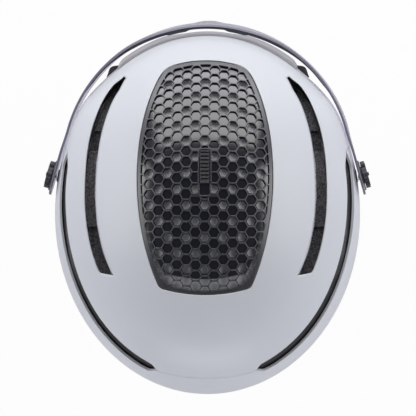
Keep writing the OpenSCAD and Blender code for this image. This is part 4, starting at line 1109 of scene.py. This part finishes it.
def ribbon(name, points, node, level=0.0):
    """Webbing along a smooth line, with thick sewn edges and its width across +Y.

    Its first end is turned towards the level by the share in level."""
    line = catmull(points, 6)
    d = unit(np.gradient(line, axis=0))
    across = unit([0, 1, 0] - d * d[:, 1:2])
    up = np.cross(d, across)
    half = STRAP_W / 2
    section = round_box(-half, half, -STRAP_T / 2, STRAP_T / 2, 0.8, 3)
    groove = np.abs(np.abs(section[:, 0]) - half + 1.6) < 0.4
    section[:, 1] *= np.where(groove, 0.7, 1)
    rows = [p + a * section[:, :1] + u * section[:, 1:] for p, a, u in zip(line, across, up)]
    if level:
        rows[0] = rows[0] + d[0] * (level * (line[0][2] - rows[0][:, 2:]) / d[0][2])
    make_loft(name, node, WEBBING, ROOT, rows)


def strap_run(anchor, y_fork, bow, level):
    """Points of a bowed strap from under its anchor to its fork at the divider."""
    a, b = np.array(anchor), np.array(DIVIDER) + [0, y_fork, 8]
    d = (b - a) / np.linalg.norm(b - a)
    rise = STRAP_W / 2 * abs(d[1] * d[2]) / math.sqrt(1 - d[1] ** 2) + STRAP_T / 2 * abs(d[0])
    start = a - d * ((rise * (1 - level) + 0.3) / d[2])
    return [mix(start, b, i / 4) - [bow * math.sin(math.pi * i / 4), 0, 0] for i in range(5)]


def chin_run(side):
    """Points of a chin strap from the divider to the buckle."""
    start, bend = np.array(DIVIDER) - [0.5, 0, 10.2], (72, DIVIDER[1], -140)
    t = np.arange(9) / 8
    if side < 0:
        return bezier([start, bend, (56, CHIN_Y, -CHIN_DROP), (24.9, CHIN_Y, -CHIN_DROP)], t)
    z = 3.55 - CHIN_DROP
    run = bezier([start, bend, (73, CHIN_Y, z), (57.4, CHIN_Y, z)], np.minimum(t, 0.875) / 0.875)
    run[-1] = (22.9, CHIN_Y, z)
    return run


def make_straps():
    for side, word in ((-1, "left"), (1, "right")):
        runs = (("front", strap_run(FRONT_ANCHOR, FORK, 3, 1.0), 1.0),
                ("rear", strap_run(REAR_ANCHOR, -FORK, -2, 0.6), 0.6),
                ("chin", chin_run(side), 0.0))
        for kind, run, level in runs:
            ribbon(kind + "_webbing_" + word, [p * [side, 1, 1] for p in run],
                   kind + "_strap_" + word, level)


def make_chin_pad():
    """A soft sleeve above the left chin strap, taken from its CAD solid and rounded."""
    mesh = nodes["chin_pad"].data.copy()
    mesh.name = "chin_pad_knit"
    mesh.materials.clear()
    mesh.materials.append(PAD)
    obj = new_object("chin_pad_knit", mesh)
    obj.modifiers.new("weld", "WELD").merge_threshold = 0.00002
    smooth = obj.modifiers.new("round", "SUBSURF")
    smooth.levels = smooth.render_levels = 2
    mesh.shade_smooth()
    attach(obj, ROOT)
    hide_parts("chin_pad")


# Light, floor and camera, in metres
def make_floor():
    """A pale floor that the camera sees nearly white, with a soft shadow."""
    size, z = 6.0, FLOOR_Z * MM
    mesh = bpy.data.meshes.new("floor")
    mesh.from_pydata([(-size, -size, z), (size, -size, z), (size, size, z), (-size, size, z)], [],
                     [(0, 1, 2, 3)])
    mat, n, bsdf = new_material("pale_floor")
    put(bsdf, Base_Color=tint(n, noise(n, 2.0), (0.80,) * 3, (0.83,) * 3), Roughness=0.9)
    path = add(n, "LightPath").outputs
    seen = larger(n, path["Is Camera Ray"], path["Is Transmission Ray"])
    share = spread(n, seen, To_Max=0.93)
    glow = add(n, "Emission", Color=(1, 1, 1, 1), Strength=1.02)
    put(n["Material Output"],
        Surface=blended(n, share, bsdf.outputs["BSDF"], glow.outputs["Emission"]))
    mesh.materials.append(mat)
    new_object("floor", mesh)


def make_world():
    """Bright round the horizon and dim overhead, white where the camera looks past the floor."""
    world = bpy.data.worlds.new("studio")
    bpy.context.scene.world = world
    world.use_nodes = True
    n = world.node_tree.nodes
    height = add(n, "SeparateXYZ", Vector=add(n, "TexCoord").outputs["Generated"]).outputs["Z"]
    levels = [(at, [level * part for part in SKY_TINT]) for at, level in SKY_LEVELS]
    sky, white = put(n["Background"], Color=ramp(n, height, *levels)), add(n, "Background")
    seen = add(n, "LightPath").outputs["Is Camera Ray"]
    put(n["World Output"],
        Surface=blended(n, seen, sky.outputs["Background"], white.outputs["Background"]))


def make_lights():
    """Soft boxes that look at the origin."""
    for name, azimuth, elevation, width, height, power in SOFT_BOXES:
        light = bpy.data.lights.new(name, "AREA")
        light.shape = "RECTANGLE"
        light.size, light.size_y, light.energy = width, height, power
        obj = new_object(name, light)
        a, e = math.radians(azimuth), math.radians(elevation)
        way = Vector((math.cos(e) * math.cos(a), math.cos(e) * math.sin(a), math.sin(e)))
        obj.location = way * LIGHT_DISTANCE
        obj.rotation_euler = (-obj.location).to_track_quat("-Z", "Y").to_euler()


def make_camera():
    data = bpy.data.cameras.new("camera")
    data.sensor_width = 36.0
    data.lens = data.sensor_width * CAMERA_DISTANCE / VIEW_WIDTH
    data.clip_end = 50.0
    cam = new_object("camera", data)
    t = math.radians(CAMERA_TILT)
    cam.location = AIM + Vector((math.sin(t), 0, math.cos(t))) * CAMERA_DISTANCE
    cam.rotation_euler = (0, t, 0)
    bpy.context.scene.camera = cam


def main():
    bpy.context.scene.view_settings.view_transform = "Standard"
    for step in (make_camera, dress_nodes, make_crown_shell, make_lower_shell, make_grille,
                 make_shutter, make_slider, make_film, make_gasket, make_strips, make_pads,
                 make_straps, make_chin_pad, make_floor, make_world, make_lights):
        step()


main()
